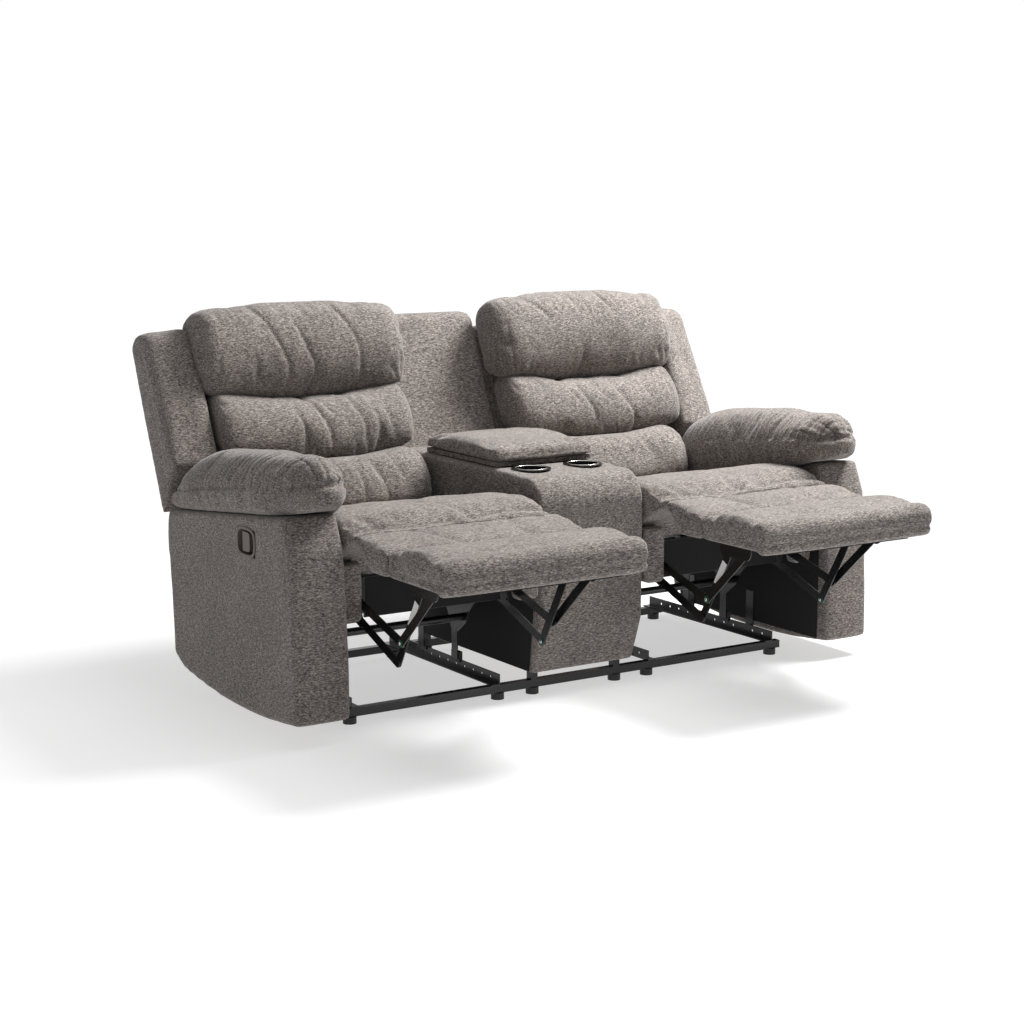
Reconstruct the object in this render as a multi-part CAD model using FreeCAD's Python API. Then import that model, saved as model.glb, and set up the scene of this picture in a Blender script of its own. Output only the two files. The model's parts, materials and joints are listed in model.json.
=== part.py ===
import FreeCAD, Part
import math
import os

# Two-seat reclining sofa with a centre console, shown with both footrests out.
# Millimetres. +X is the viewer's right, the sofa faces -Y, +Z is up, the floor is z = 0.
# Depths below are measured from the front foot of the arms; export moves the depth
# origin to the middle of the whole outline.

# Overall
body_width = 1880.0
footrest_reach = 436.0
fabric_gap = 0.4

# Arms
arm_width = 157.0
arm_front_lean = 60.0
arm_top_front = 575.0
arm_top_rear = 500.0
arm_depth = 763.0
arm_foot_clearance = 45.0
arm_edge_draw = 0.02

# Arm pads
pad_outer_bulge = 13.0
pad_inner_overhang = 48.0
pad_front = -6.0
pad_crown_height = 128.0
pad_rear_end = 748.0

# Release handles, one in the outer face of each arm
handle_depth = 259.0
handle_height = 485.0
bezel_length = 106.0
bezel_height = 77.0
bezel_lip = 4.0
bezel_wall = 3.0
pocket_depth = 24.0
paddle_length = 34.0
paddle_height = 50.0
paddle_thickness = 7.0
handle_pin_radius = 3.0
running_clearance = 0.05

# Console
console_half_width = 172.0
console_front = 73.0
console_bottom = 65.0
console_toe_height = 190.0
console_toe_setback = 43.0
console_top = 606.0
console_wall = 32.0
bin_front = 318.0
bin_rear = 640.0
bin_floor = 330.0
bin_liner = 3.0
lid_front = 296.0
lid_rear = 702.0
lid_side_inset = 2.0
lid_board = 12.0
lid_crown = 48.0
cup_spacing = 172.0
cup_centre_depth = 246.0
cup_radius = 43.0
cup_flange_radius = 55.0
cup_depth = 78.0
cup_wall = 1.6
cup_hole_clearance = 0.5
lid_pin_radius = 3.0

# Seats
seat_clearance = 5.0
seat_front_top = 558.0
seat_rear = 640.0
seat_underside = 395.0
hinge_depth = -11.5
hinge_height = 515.5
mitre_gap = 1.1
seat_draw = 0.05
pad_underside = 443.0
pad_joint_depth = -165.0
ear_width = 66.0
ear_front = 68.0
ear_thickness = 42.0
ear_bottom = 283.0

# Back
back_lean = 22.3
back_rear_depth = 813.0
back_rear_height = 475.0
back_shell = 30.0
back_board = 15.0
back_bottom = 160.0
back_inner_gap = 10.0
shell_top = 944.0
board_top = 905.0
board_bottom = 292.0
wing_inset = 14.0
wing_width = 138.0
wing_top = 959.0
wing_foot = 478.0
head_inner_gap = 4.0
head_outer_gap = -9.0
middle_inner_gap = 24.0
middle_outer_gap = 11.0
lower_inner_gap = 34.0
lower_outer_gap = 64.0
recline_depth = 600.0
recline_height = 280.0
recline_pin_radius = 6.0
bracket_top = 440.0
pillow_pinch = 0.1
console_back_top = 985.0
console_back_overlap = 2.5

# Footrest linkage, pivots as (depth, height) with the footrest out
steel = 3.0
steel_gap = 0.5
plate_inset = 81.5
link_width = 24.0
rivet_radius = 4.0
rivet_head_radius = 7.5
rivet_head = 2.0
open_pivot_clearance = 0.6
plate_pivot_rear = (123.6, 335.1)
plate_pivot_front = (105.0, 276.4)
knee_rear = (-110.0, 264.9)
knee_front = (-75.0, 207.3)
foot_pivot_front = (-268.0, 412.0)
foot_pivot_rear = (-189.9, 412.0)
footrest_board = 12.0
torque_tube_place = (332.0, 196.0)
torque_tube_radius = 11.0

# Seat frame and springs
frame_height = 50.0
frame_wall = 22.0
spring_wire = 3.8
spring_count = 5
spring_pitch = 44.0
spring_swing = 46.0
spring_lift = 0.1
apron_thickness = 3.0
apron_bottom = 286.0

# Floor base
tube_side = 22.0
tube_wall = 2.0
glide_height = 18.0
glide_radius = 18.0
front_tube_depth = 161.0
rear_tube_depth = 733.0
tube_end_reach = 29.5
rail_height = 30.0
rail_foot = 26.0
rail_wall = 3.0
rail_to_plate = 8.0
rail_front_reach = 11.0
rail_rear_reach = 19.0
rail_hole_radius = 4.0
rail_hole_step = 45.0
leg_width = 30.0
leg_depths = (372.0, 556.0)
shoe_length = 44.0
shoe_height = 30.0
shoe_overlap = 8.0
shoe_clearance = 0.3
console_foot = 138.0
arm_bracket_depths = (330.0, 620.0)
arm_bracket_width = 34.0
arm_bracket_top = 150.0

arm_inner = body_width / 2 - arm_width
seat_centre = (arm_inner + console_half_width) / 2
seat_half = (arm_inner - console_half_width) / 2 - seat_clearance
plate_offset = seat_half - plate_inset
rail_offset = plate_offset + rail_to_plate
rail_front = front_tube_depth - rail_front_reach
rail_rear = rear_tube_depth + rail_rear_reach
tube_half = seat_centre + rail_offset + tube_end_reach
lid_half_width = console_half_width - lid_side_inset
console_back_half = console_half_width + console_back_overlap
wing_inner = arm_inner + wing_inset
wing_outer = wing_inner + wing_width
back_inner = console_half_width + back_inner_gap
head_inner = console_half_width + head_inner_gap
head_outer = arm_inner - head_outer_gap
middle_inner = console_half_width + middle_inner_gap
middle_outer = arm_inner - middle_outer_gap
lower_inner = console_half_width + lower_inner_gap
lower_outer = arm_inner - lower_outer_gap
slope = math.tan(math.radians(back_lean))
cushion_underside_front = hinge_height - (ear_front - 6 - hinge_depth)
frame_top = seat_underside - spring_wire - fabric_gap
rail_top = glide_height + tube_side + rail_height

# Stations across a soft form: place from -1 to 1 across its width, share of the end's draw
end_stations = [(-1.0, 1.0), (-0.985, 0.72), (-0.955, 0.46), (-0.9, 0.24), (-0.8, 0.1), (-0.6, 0.03), (-0.35, 0.0)]
end_stations += [(-place, share) for place, share in reversed(end_stations)]
pieces = {}


def vec(x, y, z):
    return FreeCAD.Vector(x, y, z)


def save(name, shape):
    pieces[name] = shape


def export_all():
    """Write every piece with the depth origin in the middle of the whole outline."""
    reach = [shape.optimalBoundingBox(False) for shape in pieces.values()]
    middle = (min(box.YMin for box in reach) + max(box.YMax for box in reach)) / 2
    os.makedirs("parts", exist_ok=True)
    for name, shape in pieces.items():
        placed = shape.copy()
        placed.translate(vec(0, -middle, 0))
        placed.exportStep("parts/" + name + ".step")
        print(name, len(placed.Solids), "solids, volume", round(placed.Volume), "valid", placed.isValid())
    print("depth origin at", round(middle, 3))


def block(x0, x1, y0, y1, z0, z1):
    return Part.makeBox(x1 - x0, y1 - y0, z1 - z0, vec(x0, y0, z0))


def rod_x(x0, x1, y, z, radius):
    return Part.makeCylinder(radius, x1 - x0, vec(x0, y, z), vec(1, 0, 0))


def outline(x, steps):
    """Closed wire in the plane at x; a step is an end point or a (via, end) arc."""
    edges = []
    here = steps[0]
    for step in steps[1:]:
        if isinstance(step[0], tuple):
            via, end = step
            edges.append(Part.Arc(vec(x, *here), vec(x, *via), vec(x, *end)).toShape())
        else:
            end = step
            edges.append(Part.LineSegment(vec(x, *here), vec(x, *end)).toShape())
        here = end
    if math.dist(here, steps[0]) > 1e-6:
        edges.append(Part.LineSegment(vec(x, *here), vec(x, *steps[0])).toShape())
    return Part.Wire(edges)


def slab_x(x0, x1, steps):
    return Part.Face(outline(x0, steps)).extrude(vec(x1 - x0, 0, 0))


def scaled(steps, pivot, factor):
    """The same outline drawn in about a pivot."""
    def move(p):
        return (pivot[0] + (p[0] - pivot[0]) * factor, pivot[1] + (p[1] - pivot[1]) * factor)
    result = []
    for step in steps:
        if isinstance(step[0], tuple):
            result.append((move(step[0]), move(step[1])))
        else:
            result.append(move(step))
    return result


def cushion(centre, half, steps, pivot, draw):
    """Soft form swept across its width, full in the middle and drawn in towards both ends."""
    wires = []
    for place, share in end_stations:
        wires.append(outline(centre + place * half, scaled(steps, pivot, 1.0 - draw * share)))
    return Part.makeLoft(wires, True, True)


def strip_link(p, q, x0, bored):
    """Flat steel link with round ends and a rivet hole at each bored pivot."""
    width = link_width
    thickness = steel
    length = math.hypot(q[0] - p[0], q[1] - p[1])
    along = ((q[0] - p[0]) / length, (q[1] - p[1]) / length)
    across = (-along[1] * width / 2, along[0] * width / 2)
    round_end = width / 2
    steps = [
        (p[0] + across[0], p[1] + across[1]),
        ((p[0] - along[0] * round_end, p[1] - along[1] * round_end), (p[0] - across[0], p[1] - across[1])),
        (q[0] - across[0], q[1] - across[1]),
        ((q[0] + along[0] * round_end, q[1] + along[1] * round_end), (q[0] + across[0], q[1] + across[1])),
    ]
    strip = slab_x(x0, x0 + thickness, steps)
    for pivot in bored:
        strip = strip.cut(rod_x(x0 - 1, x0 + thickness + 1, pivot[0], pivot[1], rivet_radius + running_clearance))
    return strip


def back_front_line(height):
    """Depth of the back slab's front face at a height."""
    rear = back_rear_depth + (height - back_rear_height) * slope
    return rear - (back_shell + back_board) / math.cos(math.radians(back_lean))


def back_rear_line(height):
    return back_rear_depth + (height - back_rear_height) * slope


# Floor base: two cross tubes, four angle rails, glides

def base_frame():
    tube_top = glide_height + tube_side
    half = tube_side / 2
    members = []
    for depth in (front_tube_depth, rear_tube_depth):
        tube = block(-tube_half, tube_half, depth - half, depth + half, glide_height, tube_top)
        bore = block(-tube_half - 1, tube_half + 1, depth - half + tube_wall, depth + half - tube_wall,
                     glide_height + tube_wall, tube_top - tube_wall)
        tube = tube.cut(bore)
        for side in (-1, 1):
            post = block(side * console_foot - half, side * console_foot + half, depth - half, depth + half,
                         tube_top, console_bottom)
            tube = tube.fuse(post)
        members.append(tube.removeSplitter())
    for side in (-1, 1):
        for depth in arm_bracket_depths:
            near = seat_centre + rail_offset - rail_wall / 2
            strap = block(near, arm_inner, depth, depth + arm_bracket_width, tube_top - rail_wall, tube_top)
            tab = block(arm_inner - rail_wall, arm_inner, depth, depth + arm_bracket_width,
                        tube_top - rail_wall, arm_bracket_top)
            bracket = strap.fuse(tab).removeSplitter()
            members.append(bracket if side > 0 else bracket.mirror(vec(0, 0, 0), vec(1, 0, 0)))
    save("base_cross_members", Part.makeCompound(members))
    rails = []
    for side in (-1, 1):
        for out in (-1, 1):
            x = side * seat_centre + out * rail_offset
            x_foot = x - out * rail_foot
            upright = block(x - rail_wall / 2, x + rail_wall / 2, rail_front, rail_rear, tube_top, rail_top)
            foot = block(min(x, x_foot), max(x, x_foot), rail_front, rail_rear, tube_top, tube_top + rail_wall)
            rail = upright.fuse(foot)
            depth = rail_front + rail_hole_step
            while depth < rail_rear - rail_hole_step / 2:
                rail = rail.cut(rod_x(x - rail_wall, x + rail_wall, depth, tube_top + rail_height / 2,
                                      rail_hole_radius))
                depth += rail_hole_step
            rails.append(rail.removeSplitter())
    save("base_rails", Part.makeCompound(rails))
    glides = []
    for x in (console_foot, seat_centre - rail_offset, seat_centre + rail_offset):
        for side in (-1, 1):
            for depth in (front_tube_depth, rear_tube_depth):
                glides.append(Part.makeCylinder(glide_radius, glide_height, vec(side * x, depth, 0)))
    save("floor_glides", Part.makeCompound(glides))


def arms():
    body_steps = [
        (0.0, arm_foot_clearance + 11),
        ((7.0, 282.0), (24.0, 488.0)),
        (arm_front_lean, arm_top_front),
        (arm_depth - 8, arm_top_rear),
        ((arm_depth, 467.0), (arm_depth - 7, 363.0)),
        (arm_depth - 23, 101.0),
        (arm_depth - 83, arm_foot_clearance + 25),
        ((432.0, arm_foot_clearance - 4), (60.0, arm_foot_clearance + 6)),
    ]
    outer = body_width / 2
    middle = (arm_depth / 2, arm_top_front / 2)
    body = cushion((arm_inner + outer) / 2, arm_width / 2, body_steps, middle, arm_edge_draw)
    pocket = block(outer - pocket_depth, outer + 1, handle_depth - bezel_length / 2 + bezel_lip,
                   handle_depth + bezel_length / 2 - bezel_lip,
                   handle_height - bezel_height / 2 + bezel_lip, handle_height + bezel_height / 2 - bezel_lip)
    body = body.cut(pocket)
    save_pair("arm", body)
    save_pair("arm_pad", arm_pad())


def pad_section(depth, low, top, inner, outer):
    """Pillow-top section across the arm: flat underside, round sides, crowned top."""
    middle = (inner + outer) / 2
    waist = low + (top - low) * 0.42
    shoulder = low + (top - low) * 0.8
    inset = (outer - inner) * 0.09
    shoulder_inset = (outer - inner) * 0.14
    points = [
        ((inner + inset, low), None),
        ((inner + shoulder_inset, shoulder), (inner, waist)),
        ((outer - shoulder_inset, shoulder), (middle, top)),
        ((outer - inset, low), (outer, waist)),
    ]
    edges = []
    here = points[0][0]
    for end, via in points[1:]:
        arc = Part.Arc(vec(here[0], depth, here[1]), vec(via[0], depth, via[1]), vec(end[0], depth, end[1]))
        edges.append(arc.toShape())
        here = end
    edges.append(Part.LineSegment(vec(here[0], depth, here[1]),
                                  vec(points[0][0][0], depth, points[0][0][1])).toShape())
    return Part.Wire(edges)


def arm_pad():
    inner = arm_inner - pad_inner_overhang
    outer = body_width / 2 + pad_outer_bulge
    slant = (arm_top_front - arm_top_rear) / (arm_depth - 8 - arm_front_lean)
    seat_line = arm_top_front + fabric_gap
    sections = []
    stations = [
        (pad_front, 34.0, 0.34, 84.0, 100.0),
        (pad_front + 18, 20.0, 0.66, 60.0, 74.0),
        (pad_front + 52, 8.0, 0.92, 40.0, 46.0),
        (pad_front + 120, 1.0, 1.0, 16.0, 14.0),
        (230.0, 0.0, 1.05, 2.0, 2.0),
        (430.0, 0.0, 1.14, 0.0, 0.0),
        (590.0, 0.0, 1.1, 6.0, 0.0),
        (pad_rear_end - 56, 2.0, 0.78, 36.0, 6.0),
        (pad_rear_end, 8.0, 0.34, 84.0, 18.0),
    ]
    for depth, lift, share, inner_pinch, outer_pinch in stations:
        low = seat_line - max(0.0, depth - arm_front_lean) * slant + lift
        top = low + pad_crown_height * share
        sections.append(pad_section(depth, low, top, inner + inner_pinch, outer - outer_pinch))
    return Part.makeLoft(sections, True, False)


def save_pair(name, right_shape):
    save(name + "_right", right_shape)
    save(name + "_left", right_shape.mirror(vec(0, 0, 0), vec(1, 0, 0)))


def handles():
    outer = body_width / 2
    half_length = bezel_length / 2
    half_height = bezel_height / 2
    front = handle_depth - half_length
    low = handle_height - half_height
    rim = block(outer, outer + bezel_lip, front, front + bezel_length, low, low + bezel_height)
    corners = [edge for edge in rim.Edges if edge.BoundBox.XLength > bezel_lip - 0.1]
    rim = rim.makeFillet(half_height * 0.42, corners)
    gap = bezel_lip + fabric_gap
    cup = block(outer - pocket_depth + fabric_gap, outer + 1, front + gap, front + bezel_length - gap,
                low + gap, low + bezel_height - gap)
    bezel = rim.fuse(cup)
    wall = gap + bezel_wall
    inside = block(outer - pocket_depth + fabric_gap + bezel_wall, outer + bezel_lip + 1,
                   front + wall, front + bezel_length - wall, low + wall, low + bezel_height - wall)
    bezel = bezel.cut(inside)
    pin_depth = handle_depth + paddle_length / 2
    pin_x = outer - paddle_thickness / 2
    pin = Part.makeCylinder(handle_pin_radius, bezel_height - 2 * wall + 2, vec(pin_x, pin_depth, low + wall - 1))
    bezel = bezel.fuse(pin).removeSplitter()
    save_pair("handle_bezel", bezel)
    paddle_low = handle_height - paddle_height / 2
    paddle = block(outer - paddle_thickness, outer, pin_depth - paddle_length, pin_depth + handle_pin_radius + 3,
                   paddle_low, paddle_low + paddle_height)
    front_edges = [edge for edge in paddle.Edges
                   if edge.BoundBox.XLength > paddle_thickness - 0.1 and edge.CenterOfMass.y < handle_depth]
    paddle = paddle.makeFillet(10.0, front_edges)
    paddle = paddle.cut(Part.makeCylinder(handle_pin_radius + running_clearance, paddle_height + 2,
                                          vec(pin_x, pin_depth, paddle_low - 1)))
    save_pair("release_handle", paddle)


def console():
    half = console_half_width
    rear_top = back_front_line(console_top) - fabric_gap
    rear_low = back_front_line(console_toe_height) - fabric_gap
    body_steps = [
        (console_front + console_toe_setback, console_bottom),
        (console_front, console_toe_height),
        (console_front, console_top - 76),
        ((console_front + 24, console_top - 26), (176.0, console_top - 6)),
        (232.0, console_top),
        (rear_top, console_top),
        (rear_low, console_toe_height),
        (rear_low, console_bottom),
    ]
    body = slab_x(-half, half, body_steps)
    cavity = block(-half + console_wall, half - console_wall, bin_front, bin_rear, bin_floor, console_top + 1)
    body = body.cut(cavity)
    for side in (-1, 1):
        body = body.cut(Part.makeCylinder(cup_radius + cup_hole_clearance, cup_depth + 1,
                                          vec(side * cup_spacing / 2, cup_centre_depth, console_top - cup_depth)))
    save("console_body", body)

    cups = []
    for side in (-1, 1):
        centre = vec(side * cup_spacing / 2, cup_centre_depth, console_top - cup_depth + cup_hole_clearance)
        can = Part.makeCylinder(cup_radius, cup_depth, centre)
        flange = Part.makeCylinder(cup_flange_radius, cup_wall + 1.0,
                                   vec(centre.x, centre.y, console_top + 0.01))
        inside = Part.makeCylinder(cup_radius - cup_wall, cup_depth + 10, centre + vec(0, 0, cup_wall))
        cups.append(can.fuse(flange).cut(inside).removeSplitter())
    save("cup_holders", Part.makeCompound(cups))

    gap = fabric_gap
    liner_outer = block(-half + console_wall + gap, half - console_wall - gap, bin_front + gap, bin_rear - gap,
                        bin_floor + gap, console_top - 4)
    inset = gap + bin_liner
    liner_inner = block(-half + console_wall + inset, half - console_wall - inset, bin_front + inset,
                        bin_rear - inset, bin_floor + inset, console_top)
    save("console_bin", liner_outer.cut(liner_inner))

    board_low = console_top + 2.0
    board = block(-lid_half_width + 14, lid_half_width - 14, lid_front + 14, lid_rear - 14,
                  board_low, board_low + lid_board)
    hinge_y = lid_rear - 14
    barrel_r = lid_pin_radius + 2.5
    hinge_z = board_low + barrel_r - 1.5
    knuckles = []
    pins = []
    for side in (-1, 1):
        x = side * 90.0
        board = board.cut(block(x - 31, x + 31, hinge_y - 12, hinge_y + 1, board_low - 1, board_low + lid_board + 1))
        leaf = block(x - 14, x + 14, hinge_y - 40, hinge_y + 4, board_low - 1.6, board_low - 0.1)
        barrel = rod_x(x - 14, x + 14, hinge_y + 4, hinge_z, barrel_r)
        bored = leaf.fuse(barrel).cut(rod_x(x - 15, x + 15, hinge_y + 4, hinge_z, lid_pin_radius + running_clearance))
        knuckles.append(bored)
        pin = rod_x(x - 27, x + 27, hinge_y + 4, hinge_z, lid_pin_radius)
        for end in (-1, 1):
            ear_x = x + end * 21
            ear = block(ear_x - 6.5, ear_x + 6.5, hinge_y + 4 - barrel_r, hinge_y + 4 + barrel_r,
                        console_top, hinge_z).fuse(rod_x(ear_x - 6.5, ear_x + 6.5, hinge_y + 4, hinge_z, barrel_r))
            pin = pin.fuse(ear)
        pins.append(pin.removeSplitter())
    save("lid_board", Part.makeCompound([board] + knuckles))
    save("lid_hinge_brackets", Part.makeCompound(pins))

    base = board_low + lid_board + gap
    lid_steps = [
        (lid_front, base),
        ((lid_front - 8, base + 22), (lid_front + 34, base + 41)),
        (((lid_front + lid_rear) / 2, base + lid_crown), (lid_rear - 40, base + 38)),
        ((lid_rear - 6, base + 22), (lid_rear - 8, base)),
    ]
    save("lid_cushion", cushion(0.0, lid_half_width, lid_steps, ((lid_front + lid_rear) / 2, base), 0.10))

    top = console_back_top
    foot = console_toe_height
    panel_steps = [
        (back_front_line(foot), foot),
        (back_front_line(top - 22), top - 22),
        ((back_front_line(top) + 16, top - 3), (back_front_line(top) + 30, top)),
        ((back_rear_line(top) - 4, top - 6), (back_rear_line(top - 30) + 0.1, top - 30)),
        (back_rear_line(foot), foot),
    ]
    save("console_back", cushion(0.0, console_back_half, panel_steps, (back_rear_line(650.0), 650.0), 0.02))


def seat_pads(cx, name):
    gap = fabric_gap
    tip = (hinge_depth + mitre_gap, hinge_height)
    overhang = ear_front - 6
    ledge = ear_front + ear_thickness + 6
    seat_steps = [
        tip,
        (tip[0] + 2, tip[1] + 14),
        ((60.0, seat_front_top - 6), (150.0, seat_front_top)),
        ((262.0, seat_front_top - 14), (330.0, seat_front_top - 46)),
        ((370.0, seat_front_top - 44), (411.0, seat_front_top - 55)),
        ((535.0, seat_front_top - 82), (seat_rear, seat_front_top - 108)),
        (seat_rear, seat_underside),
        (ledge + 4, seat_underside),
        (ledge, cushion_underside_front),
        (overhang, cushion_underside_front),
    ]
    save("seat_cushion_" + name, cushion(cx, seat_half, seat_steps, (330.0, seat_underside), seat_draw))

    bridge_front = pad_joint_depth + gap
    bridge_depth = hinge_height - pad_underside
    bridge_steps = [
        (hinge_depth - mitre_gap, hinge_height),
        (hinge_depth - mitre_gap - bridge_depth, pad_underside),
        (bridge_front, pad_underside),
        (bridge_front, 505.0),
        ((-85.0, 523.0), (hinge_depth - mitre_gap - 2, hinge_height + 14)),
    ]
    save("bridge_pad_" + name, cushion(cx, seat_half, bridge_steps, (-90.0, pad_underside), 0.03))

    foot_rear = pad_joint_depth - gap
    reach = -footrest_reach
    foot_steps = [
        (foot_rear, pad_underside),
        (foot_rear, 505.0),
        ((-250.0, 527.0), (reach + 61, 519.0)),
        ((reach + 8, 510.0), (reach, 486.0)),
        ((reach + 3, 462.0), (reach + 24, pad_underside)),
    ]
    save("footrest_pad_" + name, cushion(cx, seat_half, foot_steps, (-290.0, pad_underside), 0.05))

    board_half = plate_offset + 4 * (steel + steel_gap)
    board = block(cx - board_half, cx + board_half, reach + 40, foot_rear - 6,
                  pad_underside - gap - footrest_board, pad_underside - gap)
    save("footrest_board_" + name, board)


def seat_frame(cx, name):
    side_in = plate_offset - fabric_gap
    front = ear_front + ear_thickness + 6
    low = frame_top - frame_height
    rim = block(cx - side_in, cx + side_in, front, seat_rear - 4, low, frame_top)
    hole = block(cx - side_in + frame_wall, cx + side_in - frame_wall, front + frame_wall,
                 seat_rear - 4 - frame_wall, low - 1, frame_top + 1)
    apron_half = side_in - frame_wall / 2
    apron = block(cx - apron_half, cx + apron_half, front - apron_thickness, front, apron_bottom, frame_top)
    save("seat_frame_" + name, rim.cut(hole).fuse(apron).removeSplitter())
    ears = []
    ear_top = seat_underside + (cushion_underside_front - seat_underside) * (1 - seat_draw) - fabric_gap
    for out in (-1, 1):
        far = cx + out * seat_half
        near = far - out * ear_width
        ears.append(block(min(near, far), max(near, far), ear_front, ear_front + ear_thickness,
                          ear_bottom, ear_top))
    rounded = []
    for ear in ears:
        low_edges = [edge for edge in ear.Edges
                     if edge.BoundBox.YLength > 1 and edge.BoundBox.ZMax < ear_bottom + 1]
        rounded.append(ear.makeFillet(16.0, low_edges))
    save("seat_ears_" + name, Part.makeCompound(rounded))

    springs = []
    height = frame_top + spring_wire / 2 + spring_lift
    start = front + frame_wall / 2
    run = seat_rear - 4 - frame_wall - front
    spacing = (2 * side_in - 2 * frame_wall) / spring_count
    bends = int(run / (spring_pitch / 2))
    for index in range(spring_count):
        x = cx + (index - (spring_count - 1) / 2) * spacing
        springs.append(sinuous_spring(x, start, height, run / bends, bends))
    save("seat_springs_" + name, Part.makeCompound(springs))


def sinuous_spring(x, start, height, step, bends):
    """Flat zigzag wire: straight cross runs joined by half turns, each made of two quarter arcs."""
    radius = step / 2
    reach = spring_swing / 2 - radius
    edges = []
    here = vec(x, start, height)
    sway = 1
    first = vec(x + sway * reach, start, height)
    edges.append(Part.LineSegment(here, first).toShape())
    here = first
    for bend in range(bends):
        y = start + bend * step
        top = vec(x + sway * (reach + radius), y + radius, height)
        end = vec(x + sway * reach, y + step, height)
        k = radius * math.sqrt(0.5)
        via_a = vec(x + sway * (reach + k), y + radius - k, height)
        via_b = vec(x + sway * (reach + k), y + radius + k, height)
        edges.append(Part.Arc(here, via_a, top).toShape())
        edges.append(Part.Arc(top, via_b, end).toShape())
        last = bend == bends - 1
        across = vec(x if last else x - sway * reach, y + step, height)
        edges.append(Part.LineSegment(end, across).toShape())
        here = across
        sway = -sway
    path = Part.Wire(edges)
    circle = Part.makeCircle(spring_wire / 2, vec(x, start, height), vec(1, 0, 0))
    return path.makePipeShell([Part.Wire([circle])], True, False)


def stud(x0, x1, place, radius):
    return rod_x(min(x0, x1), max(x0, x1), place[0], place[1], radius)


def plane_of(level):
    """Inner face offset of a steel layer, counted outwards from the side plate."""
    return plate_offset + level * (steel + steel_gap)


def both_sides(cx, build):
    """The same steel piece on both sides of a seat, as two separate solids."""
    pieces = []
    for out in (-1, 1):
        shape = build()
        if out < 0:
            shape = shape.mirror(vec(0, 0, 0), vec(1, 0, 0))
        shape.translate(vec(cx, 0, 0))
        pieces.append(shape)
    return Part.makeCompound(pieces)


def side_plate():
    rear, front = plate_pivot_rear, plate_pivot_front
    steps = [
        (front[0] - 13, front[1]),
        (rear[0] - 13, rear[1] - 4),
        ((rear[0] - 8, rear[1] + 7), (rear[0] + 4, rear[1] + 12)),
        (recline_depth + 10, rear[1] + 12),
        ((recline_depth + 36, rear[1] + 2), (recline_depth + 40, rear[1] - 26)),
        (recline_depth + 28, recline_height - 18),
        (leg_depths[1] + leg_width / 2, recline_height - 65),
        (leg_depths[1] + leg_width / 2, rail_top + shoe_clearance),
        (leg_depths[1] - leg_width / 2, rail_top + shoe_clearance),
        (leg_depths[1] - leg_width / 2, 196.0),
        ((476.0, 236.0), (leg_depths[0] + leg_width, 190.0)),
        (leg_depths[0] + leg_width / 2, 150.0),
        (leg_depths[0] + leg_width / 2, rail_top + shoe_clearance),
        (leg_depths[0] - leg_width / 2, rail_top + shoe_clearance),
        (leg_depths[0] - leg_width / 2, 150.0),
        (torque_tube_place[0] - 20, torque_tube_place[1] - 12),
        ((265.0, 246.0), (front[0] + 5, front[1] - 13)),
        ((front[0] - 9, front[1] - 9), (front[0] - 13, front[1])),
    ]
    plate = slab_x(plate_offset, plate_offset + steel, steps)
    depth = 190.0
    while depth < recline_depth - 60:
        plate = plate.cut(rod_x(plate_offset - 1, plate_offset + steel + 1, depth, 300.0, rail_hole_radius))
        depth += rail_hole_step
    outer = plane_of(1) + steel
    plate = plate.fuse(stud(plate_offset, outer + 0.1, rear, rivet_radius))
    plate = plate.fuse(stud(outer + 0.1, outer + 0.1 + rivet_head, rear, rivet_head_radius))
    plate = plate.fuse(stud(plate_offset + steel, plane_of(-1), front, rivet_radius))
    place = (recline_depth, recline_height)
    plate = plate.fuse(stud(plate_offset, outer + 0.1, place, recline_pin_radius))
    plate = plate.fuse(stud(outer + 0.1, outer + 0.1 + rivet_head, place, recline_pin_radius + 4))
    return plate


def link_rear():
    link = strip_link(plate_pivot_rear, knee_rear, plane_of(1), [plate_pivot_rear])
    outer = plane_of(2) + steel
    link = link.fuse(stud(plane_of(1), outer + 0.1, knee_rear, rivet_radius))
    return link.fuse(stud(outer + 0.1, outer + 0.1 + rivet_head, knee_rear, rivet_head_radius))


def link_front():
    link = strip_link(plate_pivot_front, knee_front, plane_of(-1), [plate_pivot_front])
    inner = plane_of(-2)
    link = link.fuse(stud(plane_of(-1) + steel, inner - 0.1, knee_front, rivet_radius))
    return link.fuse(stud(inner - 0.1, inner - 0.1 - rivet_head, knee_front, rivet_head_radius))


def link_long():
    return strip_link(knee_rear, foot_pivot_front, plane_of(2), [knee_rear, foot_pivot_front])


def link_short():
    link = strip_link(knee_front, foot_pivot_rear, plane_of(-2), [knee_front])
    return link.cut(rod_x(plane_of(-2) - 1, plane_of(-2) + steel + 1, foot_pivot_rear[0], foot_pivot_rear[1],
                          rivet_radius + open_pivot_clearance))


def foot_bracket():
    x0 = plane_of(3)
    board_low = pad_underside - fabric_gap - footrest_board
    front, rear = foot_pivot_front, foot_pivot_rear
    steps = [
        (front[0] - 30, board_low),
        (front[0] - 30, board_low - 8),
        ((front[0] - 12, front[1] - 14), (front[0] + 4, front[1] - 13)),
        (rear[0] - 4, rear[1] - 13),
        ((rear[0] + 12, rear[1] - 11), (rear[0] + 16, board_low)),
    ]
    plate = slab_x(x0, x0 + steel, steps)
    flange = block(x0 - 24, x0 + 1, front[0] - 30, rear[0] + 16, board_low - 2.5, board_low)
    plate = plate.fuse(flange)
    plate = plate.fuse(stud(x0 + 1, plane_of(2), front, rivet_radius))
    inner = plane_of(-2)
    plate = plate.fuse(stud(x0 + 1, inner - 0.1, rear, rivet_radius))
    plate = plate.fuse(stud(inner - 0.1, inner - 0.1 - rivet_head, rear, rivet_head_radius))
    return plate


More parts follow.
